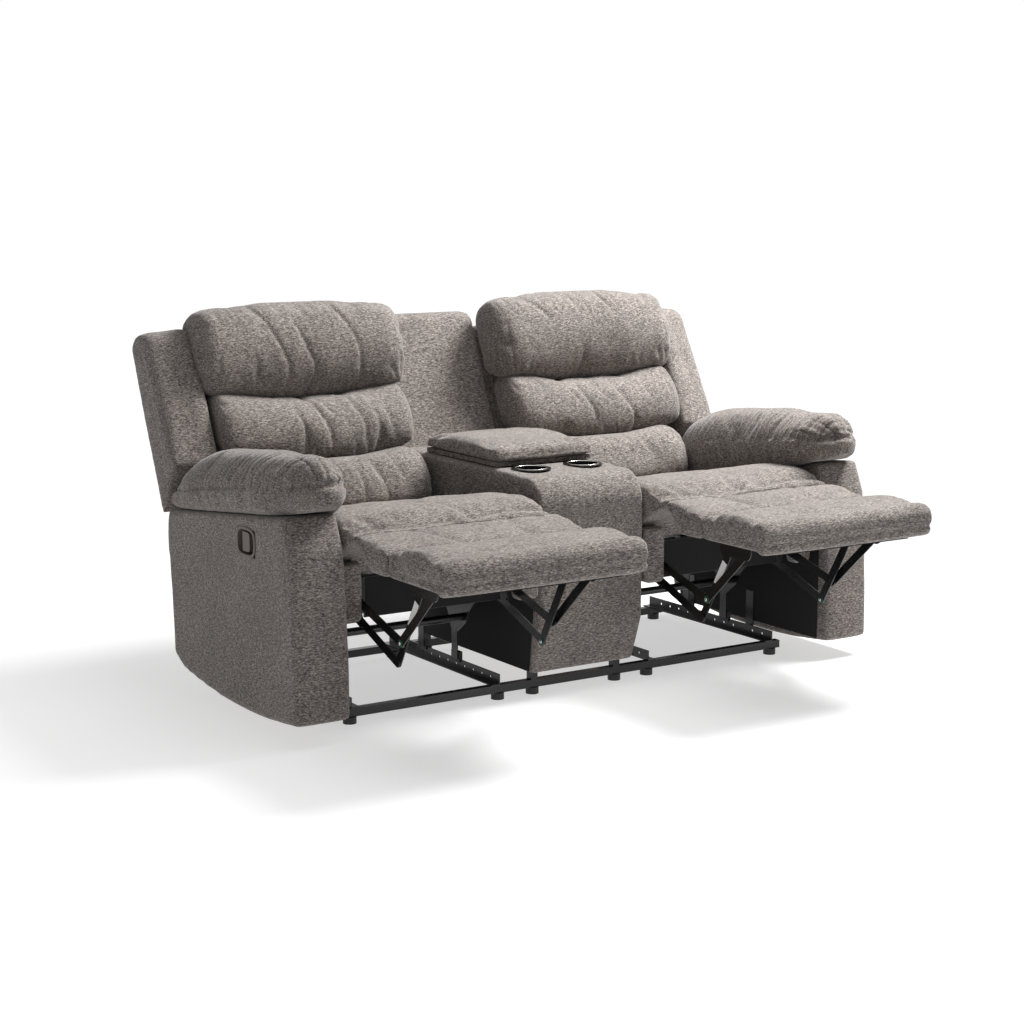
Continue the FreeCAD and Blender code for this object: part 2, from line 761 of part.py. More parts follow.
def back_bracket():
    x0 = plane_of(1)
    low = board_bottom + 6
    pin = (recline_depth, recline_height)
    steps = [
        (pin[0] - 16, pin[1]),
        ((pin[0] - 11.3, pin[1] + 11.3), (pin[0], pin[1] + 16)),
        (back_front_line(bracket_top) - 34, bracket_top),
        (back_front_line(bracket_top) - fabric_gap, bracket_top),
        (back_front_line(low) - fabric_gap, low),
        (pin[0] + 4, pin[1] - 15.5),
        ((pin[0] - 10, pin[1] - 12.5), (pin[0] - 16, pin[1])),
    ]
    plate = slab_x(x0, x0 + steel, steps)
    return plate.cut(rod_x(x0 - 1, x0 + steel + 1, pin[0], pin[1], recline_pin_radius + running_clearance))


def mechanism(cx, name):
    plates = both_sides(cx, side_plate)
    place = torque_tube_place
    far = plate_offset + steel + 1
    tube = rod_x(cx - plate_offset, cx + plate_offset, place[0], place[1], torque_tube_radius)
    bore = rod_x(cx - far, cx + far, place[0], place[1], torque_tube_radius - tube_wall)
    chassis = plates.Solids[0].fuse([tube, plates.Solids[1]]).cut(bore)
    save("seat_chassis_" + name, chassis.removeSplitter())
    save("link_rear_" + name, both_sides(cx, link_rear))
    save("link_front_" + name, both_sides(cx, link_front))
    save("link_long_" + name, both_sides(cx, link_long))
    save("link_short_" + name, both_sides(cx, link_short))
    save("footrest_brackets_" + name, both_sides(cx, foot_bracket))
    save("back_brackets_" + name, both_sides(cx, back_bracket))
    shoes = []
    for out in (-1, 1):
        for depth in leg_depths:
            rail_x = cx + out * rail_offset
            near = cx + out * (plate_offset + steel)
            far = rail_x + out * (rail_offset - plate_offset - steel)
            low = rail_top - shoe_overlap
            shoe = block(min(near, far), max(near, far), depth - shoe_length / 2, depth + shoe_length / 2,
                         low, low + shoe_height)
            groove = block(rail_x - rail_wall / 2 - shoe_clearance, rail_x + rail_wall / 2 + shoe_clearance,
                           depth - shoe_length, depth + shoe_length, low - 1, rail_top + shoe_clearance)
            shoes.append(shoe.cut(groove))
    save("slide_shoes_" + name, Part.makeCompound(shoes))


def mixed(middle, end, share):
    """Outline part-way between the one at a pillow's middle and the one at its ends."""
    def mix(p, q):
        return (p[0] + (q[0] - p[0]) * share, p[1] + (q[1] - p[1]) * share)
    result = []
    for step, far in zip(middle, end):
        if isinstance(step[0], tuple):
            result.append((mix(step[0], far[0]), mix(step[1], far[1])))
        else:
            result.append(mix(step, far))
    return result


def pillow(side, inner, outer, middle, end, height):
    """Back pillow whose seams rise towards its ends."""
    centre = side * (inner + outer) / 2
    half = (outer - inner) / 2
    pivot = (back_front_line(height) - fabric_gap, height)
    wires = []
    for place, pinch in end_stations:
        rise = min(1.0, abs(place)) ** 1.8
        steps = scaled(mixed(middle, end, rise), pivot, 1.0 - pillow_pinch * pinch)
        wires.append(outline(centre + place * half, steps))
    return Part.makeLoft(wires, True, True)


def back(side, name):
    cx = side * seat_centre
    inner = side * back_inner
    low_outer = side * (2 * seat_centre - back_inner)
    high_outer = side * (wing_inner - fabric_gap)

    def sheet(x_a, x_b, near, far, low, high):
        """Slanted sheet of the back between two distances in front of the rear face."""
        lift = 1 / math.cos(math.radians(back_lean))
        steps = [
            (back_rear_line(low) - far * lift, low),
            (back_rear_line(high) - far * lift, high),
            (back_rear_line(high) - near * lift, high),
            (back_rear_line(low) - near * lift, low),
        ]
        return slab_x(min(x_a, x_b), max(x_a, x_b), steps)

    shell = sheet(inner, low_outer, 0.0, back_shell, back_bottom, shell_top)
    upper = sheet(inner, high_outer, 0.0, back_shell, back_rear_height + 6, shell_top)
    save("back_shell_" + name, shell.fuse(upper).removeSplitter())
    save("back_board_" + name, sheet(inner + side * 14, low_outer - side * 14, back_shell,
                                     back_shell + back_board, board_bottom, board_top))

    def seat_line(height):
        return (back_front_line(height) - fabric_gap, height)

    lower_middle = [(556.0, 487.0), ((592.0, 572.0), (694.0, 592.0)), seat_line(592.0), seat_line(456.0),
                    ((680.0, 455.0), (600.0, 470.0))]
    lower_end = [(562.0, 488.0), ((594.0, 586.0), (690.0, 619.0)), seat_line(619.0), seat_line(456.0),
                 ((680.0, 455.0), (604.0, 470.0))]
    save("lower_pillow_" + name, pillow(side, lower_inner, lower_outer, lower_middle, lower_end, 520.0))
    middle_middle = [(698.0, 596.0), ((698.0, 716.0), (816.0, 760.0)), seat_line(760.0), seat_line(596.0)]
    middle_end = [(690.0, 641.0), ((710.0, 744.0), (782.0, 800.0)), seat_line(800.0), seat_line(641.0)]
    save("middle_pillow_" + name, pillow(side, middle_inner, middle_outer, middle_middle, middle_end, 690.0))
    head_middle = [(818.0, 764.0), ((774.0, 900.0), (822.0, 1022.0)), ((868.0, 1047.0), (922.0, 1034.0)),
                   ((958.0, 1008.0), seat_line(board_top + 46)), seat_line(764.0)]
    head_end = [(784.0, 804.0), ((772.0, 908.0), (818.0, 996.0)), ((862.0, 1020.0), (912.0, 1010.0)),
                ((946.0, 990.0), seat_line(board_top + 34)), seat_line(804.0)]
    save("head_pillow_" + name, pillow(side, head_inner, head_outer, head_middle, head_end, 890.0))
    save("back_wing_" + name, wing(side))


def wing(side):
    """Slanted side wing; its inner edge stands further forward and higher than its outer edge."""
    x_in = side * wing_inner
    x_out = side * wing_outer
    rear_low = (back_rear_line(wing_foot) - 4, wing_foot)
    rear_high = (back_rear_line(wing_top - 42), wing_top - 42)

    def section(x, forward, lift):
        steps = [
            rear_low,
            (772.0, 530.0),
            (722.0 - forward * 0.4, 624.0),
            ((802.0 - forward, 766.0), (890.0 - forward, 918.0 + lift)),
            ((904.0 - forward, 942.0 + lift), (930.0 - forward, wing_top + lift)),
            ((966.0 - forward / 2, wing_top - 4 + lift), rear_high),
        ]
        return outline(x, steps)

    stations = [(0.0, 22.0, 12.0), (0.45, 24.0, 11.0), (0.8, 16.0, 7.0), (0.95, 4.0, 1.0), (1.0, -12.0, -6.0)]
    wires = [section(x_in + (x_out - x_in) * share, forward, lift) for share, forward, lift in stations]
    return Part.makeLoft(wires, True, False)


base_frame()
arms()
handles()
console()
for side, name in ((-1, "left"), (1, "right")):
    cx = side * seat_centre
    seat_pads(cx, name)
    seat_frame(cx, name)
    mechanism(cx, name)
    back(side, name)
export_all()
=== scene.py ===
import json
import math
import bpy
import bmesh
import numpy as np
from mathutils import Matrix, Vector


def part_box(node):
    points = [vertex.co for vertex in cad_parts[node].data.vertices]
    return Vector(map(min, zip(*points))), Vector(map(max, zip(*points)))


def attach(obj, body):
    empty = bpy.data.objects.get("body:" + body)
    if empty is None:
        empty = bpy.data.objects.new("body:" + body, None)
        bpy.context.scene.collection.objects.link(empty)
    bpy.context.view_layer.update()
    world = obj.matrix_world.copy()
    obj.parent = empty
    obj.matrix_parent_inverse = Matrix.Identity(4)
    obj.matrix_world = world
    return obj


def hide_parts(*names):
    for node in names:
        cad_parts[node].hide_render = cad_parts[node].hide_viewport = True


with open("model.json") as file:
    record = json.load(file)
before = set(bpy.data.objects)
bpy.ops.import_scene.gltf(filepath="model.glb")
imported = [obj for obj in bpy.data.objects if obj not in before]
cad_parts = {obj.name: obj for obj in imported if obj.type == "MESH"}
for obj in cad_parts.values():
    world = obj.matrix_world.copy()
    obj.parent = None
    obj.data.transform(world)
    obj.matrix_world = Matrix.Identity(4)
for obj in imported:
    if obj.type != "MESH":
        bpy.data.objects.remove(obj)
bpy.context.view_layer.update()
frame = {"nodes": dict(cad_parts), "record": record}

print("frame loaded")

seatCentre = 0.4775
frontTubeFace = 0.143  # front edge of the base glides, measured from the arms' front foot
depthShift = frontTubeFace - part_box("floor_glides")[0][1]  # from the arms' foot back to the frame's origin
sides = (("left", -1), ("right", 1))


def at(x, depth, height):  # from millimetres off the arms' front foot to a point of the row frame
    return Vector((x / 1000, depth / 1000 - depthShift, height / 1000))


# materials

def linear(hexColour, alpha=1.0):
    parts = [int(hexColour[i:i + 2], 16) / 255 for i in (1, 3, 5)]
    return [c / 12.92 if c <= 0.04045 else ((c + 0.055) / 1.055) ** 2.4 for c in parts] + [alpha]


def addNode(tree, kind, sockets=None, **settings):
    node = tree.nodes.new("ShaderNode" + kind)
    for name, value in settings.items():
        setattr(node, name, value)
    for name, value in (sockets or {}).items():
        if isinstance(value, bpy.types.NodeSocket):
            tree.links.new(value, node.inputs[name])
        else:
            node.inputs[name].default_value = value
    return node


def newMaterial(name):
    material = bpy.data.materials.new(name)
    material.use_nodes = True
    tree = material.node_tree
    tree.nodes.clear()
    surface = addNode(tree, "BsdfPrincipled")
    addNode(tree, "OutputMaterial", {"Surface": surface.outputs["BSDF"]})
    return material, tree, surface


def ramp(tree, value, *stops):
    node = addNode(tree, "ValToRGB", {"Fac": value})
    while len(node.color_ramp.elements) < len(stops):
        node.color_ramp.elements.new(0.5)
    for element, (place, colour) in zip(node.color_ramp.elements, stops):
        element.position = place
        element.color = colour
    return node.outputs["Color"]


chenille = {
    "fleckLong": 6.5,    # mm, slub length along the weft
    "fleckHigh": 1.8,    # mm, drawn a little coarser than the 1.5 mm pick so that it shows
    "dark": "#322d2a",
    "body": "#6e6763",
    "light": "#aca49c",
    "napPatch": 140.0,   # mm, brushed patches in the pile
}


def heatherChenille(name):
    # woven chenille upholstery: matt, soft, salt-and-pepper flecks that run along the weft
    material, tree, surface = newMaterial(name)
    place = addNode(tree, "TexCoord").outputs["Object"]
    normal = addNode(tree, "NewGeometry").outputs["Normal"]
    facing = addNode(tree, "SeparateXYZ", {"Vector": normal}).outputs["X"]
    sideways = addNode(tree, "Math", {0: facing}, operation="ABSOLUTE").outputs[0]
    sideways = addNode(tree, "MapRange", {"Value": sideways, "From Min": 0.62,
                                          "From Max": 0.8}).outputs["Result"]

    def weft(longAxis, size, seed):
        high = 1000 / (chenille["fleckHigh"] * size)
        long = 1000 / (chenille["fleckLong"] * size)
        scale = [high, high, high]
        scale[longAxis] = long
        moved = addNode(tree, "Mapping", {"Vector": place, "Scale": scale,
                                          "Location": (seed, seed, seed)})
        return addNode(tree, "TexNoise", {"Vector": moved.outputs["Vector"], "Scale": 1.0, "Detail": 2.0,
                                          "Roughness": 0.6}).outputs["Fac"]

    def woven(size, seed):
        return addNode(tree, "Mix", {"Factor": sideways, "A": weft(0, size, seed), "B": weft(1, size, seed)},
                       data_type="FLOAT").outputs["Result"]

    flecks = woven(1.0, 3.0)
    slubs = woven(1.9, 11.0)
    slubShare = addNode(tree, "Math", {0: slubs, 1: 0.4}, operation="MULTIPLY").outputs[0]
    fleckShare = addNode(tree, "Math", {0: flecks, 1: 0.6}, operation="MULTIPLY").outputs[0]
    both = addNode(tree, "Math", {0: slubShare, 1: fleckShare}, operation="ADD").outputs[0]
    colour = ramp(tree, both, (0.36, linear(chenille["dark"])), (0.5, linear(chenille["body"])),
                  (0.66, linear(chenille["light"])))
    nap = addNode(tree, "TexNoise", {"Vector": place, "Scale": 1000 / chenille["napPatch"],
                                     "Detail": 3.0}).outputs["Fac"]
    shade = addNode(tree, "MapRange", {"Value": nap, "From Min": 0.3, "From Max": 0.7, "To Min": 0.88,
                                       "To Max": 1.08}).outputs["Result"]
    tinted = addNode(tree, "VectorMath", {0: colour, "Scale": shade}, operation="SCALE").outputs["Vector"]
    tree.links.new(tinted, surface.inputs["Base Color"])
    yarn = addNode(tree, "Bump", {"Height": both, "Strength": 0.7, "Distance": 0.0018}).outputs["Normal"]
    tree.links.new(yarn, surface.inputs["Normal"])
    surface.inputs["Roughness"].default_value = 0.95
    surface.inputs["Specular IOR Level"].default_value = 0.15
    surface.inputs["Sheen Weight"].default_value = 0.25
    surface.inputs["Sheen Roughness"].default_value = 0.5
    return material


def speckled(name, colours, grain, roughness, bump, metallic=0.0):
    # base for moulded, painted and plated finishes: a fine grain in tone, roughness and height
    material, tree, surface = newMaterial(name)
    place = addNode(tree, "TexCoord").outputs["Object"]
    fine = addNode(tree, "TexNoise", {"Vector": place, "Scale": 1000 / grain, "Detail": 4.0}).outputs["Fac"]
    broad = addNode(tree, "TexNoise", {"Vector": place, "Scale": 12.0, "Detail": 3.0}).outputs["Fac"]
    tone = ramp(tree, broad, (0.3, linear(colours[0])), (0.7, linear(colours[1])))
    tree.links.new(tone, surface.inputs["Base Color"])
    rough = addNode(tree, "MapRange", {"Value": fine, "From Min": 0.3, "From Max": 0.7,
                                       "To Min": roughness[0], "To Max": roughness[1]}).outputs["Result"]
    tree.links.new(rough, surface.inputs["Roughness"])
    grainy = addNode(tree, "Bump", {"Height": fine, "Strength": 0.4,
                                    "Distance": bump / 1000}).outputs["Normal"]
    tree.links.new(grainy, surface.inputs["Normal"])
    surface.inputs["Metallic"].default_value = metallic
    return material


def birchPly(name):
    # rotary-cut birch plywood: pale, long soft grain
    material, tree, surface = newMaterial(name)
    place = addNode(tree, "TexCoord").outputs["Object"]
    stretched = addNode(tree, "Mapping", {"Vector": place, "Scale": (4.0, 60.0, 60.0)}).outputs["Vector"]
    grain = addNode(tree, "TexNoise", {"Vector": stretched, "Scale": 1.0, "Detail": 6.0}).outputs["Fac"]
    tone = ramp(tree, grain, (0.3, linear("#a5835a")), (0.7, linear("#cdb289")))
    tree.links.new(tone, surface.inputs["Base Color"])
    surface.inputs["Roughness"].default_value = 0.7
    return material


fabric = heatherChenille("HeatherChenilleWoven")
# powder-coated steel: satin black with small highlights
blackPaint = speckled("BlackPowderCoatedSteel", ("#060607", "#0d0d0e"), 1.2, (0.2, 0.36), 0.05)
# zinc-plated steel: cold and bright
zinc = speckled("BrightZincPlatedSteel", ("#b9bcc0", "#d7d9db"), 0.8, (0.22, 0.38), 0.02, metallic=1.0)
# moulded ABS, toned to match the fabric, with a fine spark-eroded grain
handleAbs = speckled("TaupeMouldedAbs", ("#4f4641", "#5d534c"), 0.7, (0.45, 0.62), 0.06)
# moulded ABS in black: dull, fine grain
blackAbs = speckled("BlackMouldedAbs", ("#101011", "#1a1a1b"), 0.7, (0.42, 0.6), 0.06)
# polypropylene cup liner: smooth and a little glossy
cupPlastic = speckled("BlackGlossyPolypropylene", ("#0b0b0c", "#121213"), 1.5, (0.18, 0.3), 0.03)
# flocked bin: dull inside
binPlastic = speckled("BlackFlockedPolystyrene", ("#0d0d0d", "#171717"), 0.9, (0.8, 0.95), 0.2)
# spunbond backing cloth: flat black
dustCloth = speckled("BlackSpunbondPolypropylene", ("#030304", "#070708"), 1.6, (0.85, 1.0), 0.25)
# brushed stainless rim: a thin bright ring
satinRim = speckled("BrushedStainlessRim", ("#b5b3ad", "#d2d0ca"), 0.5, (0.2, 0.34), 0.01, metallic=1.0)
# vinyl sticker: blank white
stickerVinyl = speckled("WhiteVinylSticker", ("#e9e9e6", "#f4f4f2"), 2.0, (0.45, 0.6), 0.02)
# nylon washer: a small green ring under the rivet
greenWasher = speckled("GreenNylonWasher", ("#0f6a4c", "#1a8a63"), 0.8, (0.4, 0.5), 0.02)
plywood = birchPly("BirchPlywoodRaw")

slotFinish = {
    "black_steel": blackPaint, "zinc_steel": zinc, "black_plastic": blackAbs, "cup_black": cupPlastic,
    "bin_liner": binPlastic, "plywood": plywood, "upholstery_fabric": fabric,
}
wornFinish = {  # boards under a cover take its finish, and the handles match the fabric
    "back_board_left": fabric, "back_board_right": fabric, "lid_board": fabric,
    "footrest_board_left": dustCloth, "footrest_board_right": dustCloth,
    "release_handle_left": handleAbs, "release_handle_right": handleAbs,
    "handle_bezel_left": handleAbs, "handle_bezel_right": handleAbs,
}
for part in frame["record"]["subparts"]:
    node = frame["nodes"][part["node"]]
    node.data.materials.clear()
    node.data.materials.append(wornFinish.get(part["node"], slotFinish[part["material_slot"]]))
print("materials made")


# mesh helpers

def coords(mesh):
    co = np.empty(len(mesh.vertices) * 3)
    mesh.vertices.foreach_get("co", co)
    return co.reshape(-1, 3)


def setCoords(mesh, co):
    mesh.vertices.foreach_set("co", co.ravel())
    mesh.update()


def normals(mesh):
    out = np.empty(len(mesh.vertices) * 3)
    mesh.vertex_normals.foreach_get("vector", out)
    return out.reshape(-1, 3)


def edgesOf(mesh):
    out = np.empty(len(mesh.edges) * 2, dtype=np.int32)
    mesh.edges.foreach_get("vertices", out)
    return out.reshape(-1, 2)


def relax(mesh, rounds, share=0.5):  # evens the mesh out, moving each vertex toward its neighbours
    co, edges = coords(mesh), edgesOf(mesh)
    a, b, count = edges[:, 0], edges[:, 1], len(co)
    links = np.bincount(edges.ravel(), minlength=count)[:, None]
    for _ in range(rounds):
        total = np.stack([np.bincount(a, co[b, k], count) + np.bincount(b, co[a, k], count)
                          for k in range(3)], 1)
        step = share * (total / links - co)
        co = co + step
    setCoords(mesh, co)


def addObject(name, mesh, material):
    piece = bpy.data.objects.new(name, mesh)
    bpy.context.collection.objects.link(piece)
    if material is not None:
        mesh.materials.clear()
        mesh.materials.append(material)
    for polygon in mesh.polygons:
        polygon.use_smooth = True
    return piece


def baked(piece):  # replaces an object's mesh by what its modifiers make of it
    graph = bpy.context.evaluated_depsgraph_get()
    mesh = bpy.data.meshes.new_from_object(piece.evaluated_get(graph))
    piece.modifiers.clear()
    piece.data = mesh
    mesh.polygons.foreach_set("use_smooth", [True] * len(mesh.polygons))
    return mesh


def addBox(work, low, high):
    made = bmesh.ops.create_cube(work, size=1.0)["verts"]
    bmesh.ops.scale(work, vec=high - low, verts=made)
    bmesh.ops.translate(work, vec=(high + low) / 2, verts=made)


def pieceFrom(work, name, material):  # ends a bmesh and makes it an object
    mesh = bpy.data.meshes.new(name)
    work.to_mesh(mesh)
    work.free()
    return addObject(name, mesh, material)


# a CAD soft solid as an even quad mesh; filler boxes close pockets that are cut again later
def copyOfNode(name, nodeName, voxel, filler=()):
    work = bmesh.new()
    work.from_mesh(frame["nodes"][nodeName].data)
    for low, high in filler:
        addBox(work, low, high)
    piece = pieceFrom(work, name, fabric)
    even = piece.modifiers.new("even", "REMESH")
    even.mode = "VOXEL"
    even.voxel_size = voxel / 1000
    baked(piece)
    piece.data.materials.clear()
    piece.data.materials.append(fabric)
    return piece


def cellNoise(points, seed):  # smooth noise from -1 to 1 on a unit grid; the large numbers scatter its cells
    cell = np.floor(points).astype(np.int64)
    part = points - cell
    part = part * part * (3 - 2 * part)
    total = np.zeros(len(points))
    for corner in range(8):
        step = np.array([corner & 1, corner >> 1 & 1, corner >> 2 & 1])
        p = cell + step
        mix = (p[:, 0] * 73856093) ^ (p[:, 1] * 19349663) ^ (p[:, 2] * 83492791) ^ (seed * 2654435761)
        mix = (mix ^ (mix >> 13)) * 1274126177 & 0xFFFFFFFF
        value = ((mix ^ (mix >> 16)) & 0xFFFF) / 32767.5 - 1
        weight = np.prod(np.where(step == 1, part, 1 - part), axis=1)
        total += value * weight
    return total


def lineDistance(flat, points):  # distance of 2D places to a line, how far along it they lie, its length
    best = np.full(len(flat), 1e9)
    along = np.zeros(len(flat))
    run = 0.0
    for p, q in zip(points[:-1], points[1:]):
        p, q = np.array(p), np.array(q)
        length = np.linalg.norm(q - p)
        t = np.clip(((flat - p) @ (q - p)) / (length * length), 0, 1)
        gap = np.linalg.norm(flat - (p + t[:, None] * (q - p)), axis=1)
        nearer = gap < best
        best[nearer] = gap[nearer]
        along[nearer] = (run + t * length)[nearer]
        run += length
    return best, along, run


planes = {"xz": (0, 2), "xy": (0, 1), "yz": (1, 2)}


def lineOf(plane, points):  # millimetre points of a line on a face, corners rounded, to row frame metres
    shift = {"x": 0.0, "y": depthShift, "z": 0.0}
    for _ in range(2):
        cut = [points[0]]
        for p, q in zip(points[:-1], points[1:]):
            for near, far in ((0.75, 0.25), (0.25, 0.75)):
                cut.append(tuple(a * near + b * far for a, b in zip(p, q)))
        points = cut + [points[-1]]
    return [(p[0] / 1000 - shift[plane[0]], p[1] / 1000 - shift[plane[1]]) for p in points]


tuckShape = {
    "halo": 0.12,       # the cloth beside a seam sinks by this share of its depth
    "haloWidth": 3.4,   # times the width of the seam
    "fadeRate": 5, "endShare": 0.25,  # a fading seam keeps this share of its depth at its ends
}


def tuck(co, normal, plane, points, depth, width, facing, fade=True):  # how far it pulls in, in metres
    near, along, run = lineDistance(co[:, planes[plane]], lineOf(plane, points))
    pull = depth / 1000 * np.exp(-(near / (width / 1000)) ** 2)
    pull += depth / 1000 * tuckShape["halo"] * np.exp(-(near / (width / 1000 * tuckShape["haloWidth"])) ** 2)
    if fade:
        share = along / run
        pull *= np.clip(np.minimum(share, 1 - share) * tuckShape["fadeRate"] + tuckShape["endShare"], 0, 1)
    toward = normal @ np.array(facing, float)
    return pull * np.clip(toward * 2.5, 0, 1)


def wrinkles(co, size, height, seed):  # long soft folds; size is their length along each axis in mm
    return height / 1000 * cellNoise(co * 1000 / np.array(size), seed)


def wave(value, step, seed):  # uneven gathers along one coordinate, from -1 to 1
    points = np.stack([value / (step / 1000), np.full(len(value), seed * 7.3), np.full(len(value), 0.5)], 1)
    return cellNoise(points, seed)


def creases(value, step, seed):  # narrow pinched lines, 1 in the line, with smooth cloth between them
    return np.clip(1 - np.abs(wave(value, step, seed)) * 3, 0, 1) ** 1.5


# stuffed pieces

softJobs = []


# starts a padded piece from its CAD solid: rounded, tucks drawn in, ready to be blown up by the cloth
def stuffed(name, nodeName, body, look):
    piece = copyOfNode(name, nodeName, look["voxel"])
    mesh = piece.data
    relax(mesh, look["round"])
    co = coords(mesh)
    for bend in look.get("shape", []):
        co = bend(co)
    setCoords(mesh, co)
    normal = normals(mesh)
    co -= normal * look["shrink"] / 1000
    for line in look["tucks"]:
        co -= normal * tuck(co, normal, **line)[:, None]
    setCoords(mesh, co)
    pins = np.zeros(len(co))
    for line in look["tucks"]:
        if line["depth"] >= 8:  # only the deep creases are sewn through
            sewn = lineOf(line["plane"], line["points"])
            near = lineDistance(co[:, planes[line["plane"]]], sewn)[0]
            pins[(near < 0.006) & (normal @ np.array(line["facing"], float) > 0.2)] = 1
    for held in look["held"]:
        pins[held(co, normal)] = 1
    group = piece.vertex_groups.new(name="sewn")
    group.add([int(i) for i in np.nonzero(pins)[0]], 1.0, "REPLACE")
    softJobs.append((piece, nodeName, body, look))


def simulateAll():
    scene = bpy.context.scene
    starts = []
    for piece, nodeName, body, look in softJobs:
        cloth = piece.modifiers.new("blow", "CLOTH")
        settings = cloth.settings
        settings.quality = 4
        settings.mass = 0.3
        settings.tension_stiffness = settings.compression_stiffness = 12
        settings.shear_stiffness = 4
        settings.bending_stiffness = look.get("stiff", 0.6)
        settings.use_pressure = True
        settings.uniform_pressure_force = look["pressure"]
        settings.shrink_min = -look["ease"]
        settings.vertex_group_mass = "sewn"
        settings.effector_weights.gravity = 0
        cloth.collision_settings.use_collision = False
        starts.append(coords(piece.data))
    for step in range(1, 21):
        scene.frame_set(step)
    graph = bpy.context.evaluated_depsgraph_get()
    for (piece, nodeName, body, look), start in zip(softJobs, starts):
        evaluated = piece.evaluated_get(graph)
        end = coords(evaluated.to_mesh())
        move = end - start
        size = np.linalg.norm(move, axis=1, keepdims=True)
        cap = look["cap"] / 1000
        move *= np.minimum(1.0, cap / np.maximum(size, 1e-9))
        evaluated.to_mesh_clear()
        piece.modifiers.clear()
        setCoords(piece.data, start + move)
    scene.frame_set(1)


def finishSoft():
    for piece, nodeName, body, look in softJobs:
        relax(piece.data, 1)
        finer = piece.modifiers.new("finer", "SUBSURF")
        finer.levels = finer.render_levels = 1
        mesh = baked(piece)
        co, normal = coords(mesh), normals(mesh)
        lift = np.zeros(len(co))
        for line in look["tucks"]:
            lift -= 0.45 * tuck(co, normal, **line)
        for extra in look["folds"]:
            lift += extra(co, normal)
        setCoords(mesh, co + normal * lift[:, None])
        piece.vertex_groups.clear()
        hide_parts(nodeName)
        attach(piece, body)


front, top = (0, -1, 0.25), (0, -0.2, 1)


def towards(direction, reach=0.25):
    return lambda co, normal: np.clip((normal @ np.array(direction, float) - reach) * 3, 0, 1)


def faces(axis, sign, beyond):  # picks the vertices that face one way; they stay where they are
    return lambda co, normal: sign * normal[:, axis] > beyond


againstBoard = faces(1, 1, 0.55)
underside = faces(2, -1, 0.5)

# Tuck lines as (x from the arms' middle, height) on the pillow faces. Their places were picked in the
# photograph; most were turned into millimetres through the fitted camera, then changed.
pillowTucks = {
    "head_left": [
        [(-640, 1046), (-578, 925), (-548, 858), (-560, 778)],
        [(-534, 1010), (-500, 921), (-467, 862), (-484, 776)],
        [(-401, 1042), (-336, 941), (-323, 852), (-332, 782)],
        [(-655, 900), (-649, 800)], [(-232, 858), (-200, 815)],
        [(-199, 905), (-187, 820)], [(-766, 905), (-772, 820)]],
    "middle_left": [
        [(-570, 757), (-547, 702), (-549, 626)], [(-505, 768), (-474, 697), (-466, 609)],
        [(-388, 766), (-358, 700), (-359, 645)], [(-332, 770), (-311, 708), (-314, 619)],
        [(-301, 772), (-270, 711), (-267, 661)], [(-470, 764), (-450, 730)]],
    "lower_left": [
        [(-434, 590), (-421, 539), (-427, 462)], [(-379, 592), (-350, 538), (-345, 461)],
        [(-311, 600), (-292, 556)], [(-520, 590), (-508, 530)]],
    "head_right": [
        [(264, 1044), (305, 1005), (342, 962)], [(542, 1044), (576, 975)],
        [(187, 960), (190, 889), (206, 814)], [(730, 866), (754, 818)],
        [(758, 876), (779, 812)], [(455, 870), (452, 790)]],
    "middle_right": [
        [(395, 760), (432, 706), (442, 655)], [(461, 758), (502, 716)],
        [(536, 755), (570, 698), (592, 632)], [(365, 754), (395, 715)], [(640, 764), (652, 720)]],
    "lower_right": [
        [(560, 598), (585, 560)], [(610, 600), (630, 560)], [(500, 590), (512, 556)]],
}
pillowShape = {  # mm; grow is how far the inner, outer, low and high ends swell past the CAD pillow
    "head": {"seam": 4.5, "grow": (4, 7, 8, 11)},
    "middle": {"seam": 4.5, "grow": (4, 3, 9, 9)},
    "lower": {"seam": 4.0, "grow": (6, 2, 4, 8)},
}
pillowCloth = {  # lengths in mm, places as shares of the pillow
    "broadFolds": (90, 200, 150), "broadHeight": 3.0,
    "smallFolds": (34, 90, 70), "smallHeight": 1.3,
    "gatherStep": 17, "gatherHeight": 2.6, "gatherFrom": 0.55, "gatherOver": 0.45,
    "puckerStep": 21, "creaseStep": 19, "puckerHeight": 2.6,
    "lowSeam": 0.06, "lowSpread": 0.16, "highSeam": 0.93, "highSpread": 0.14,
}


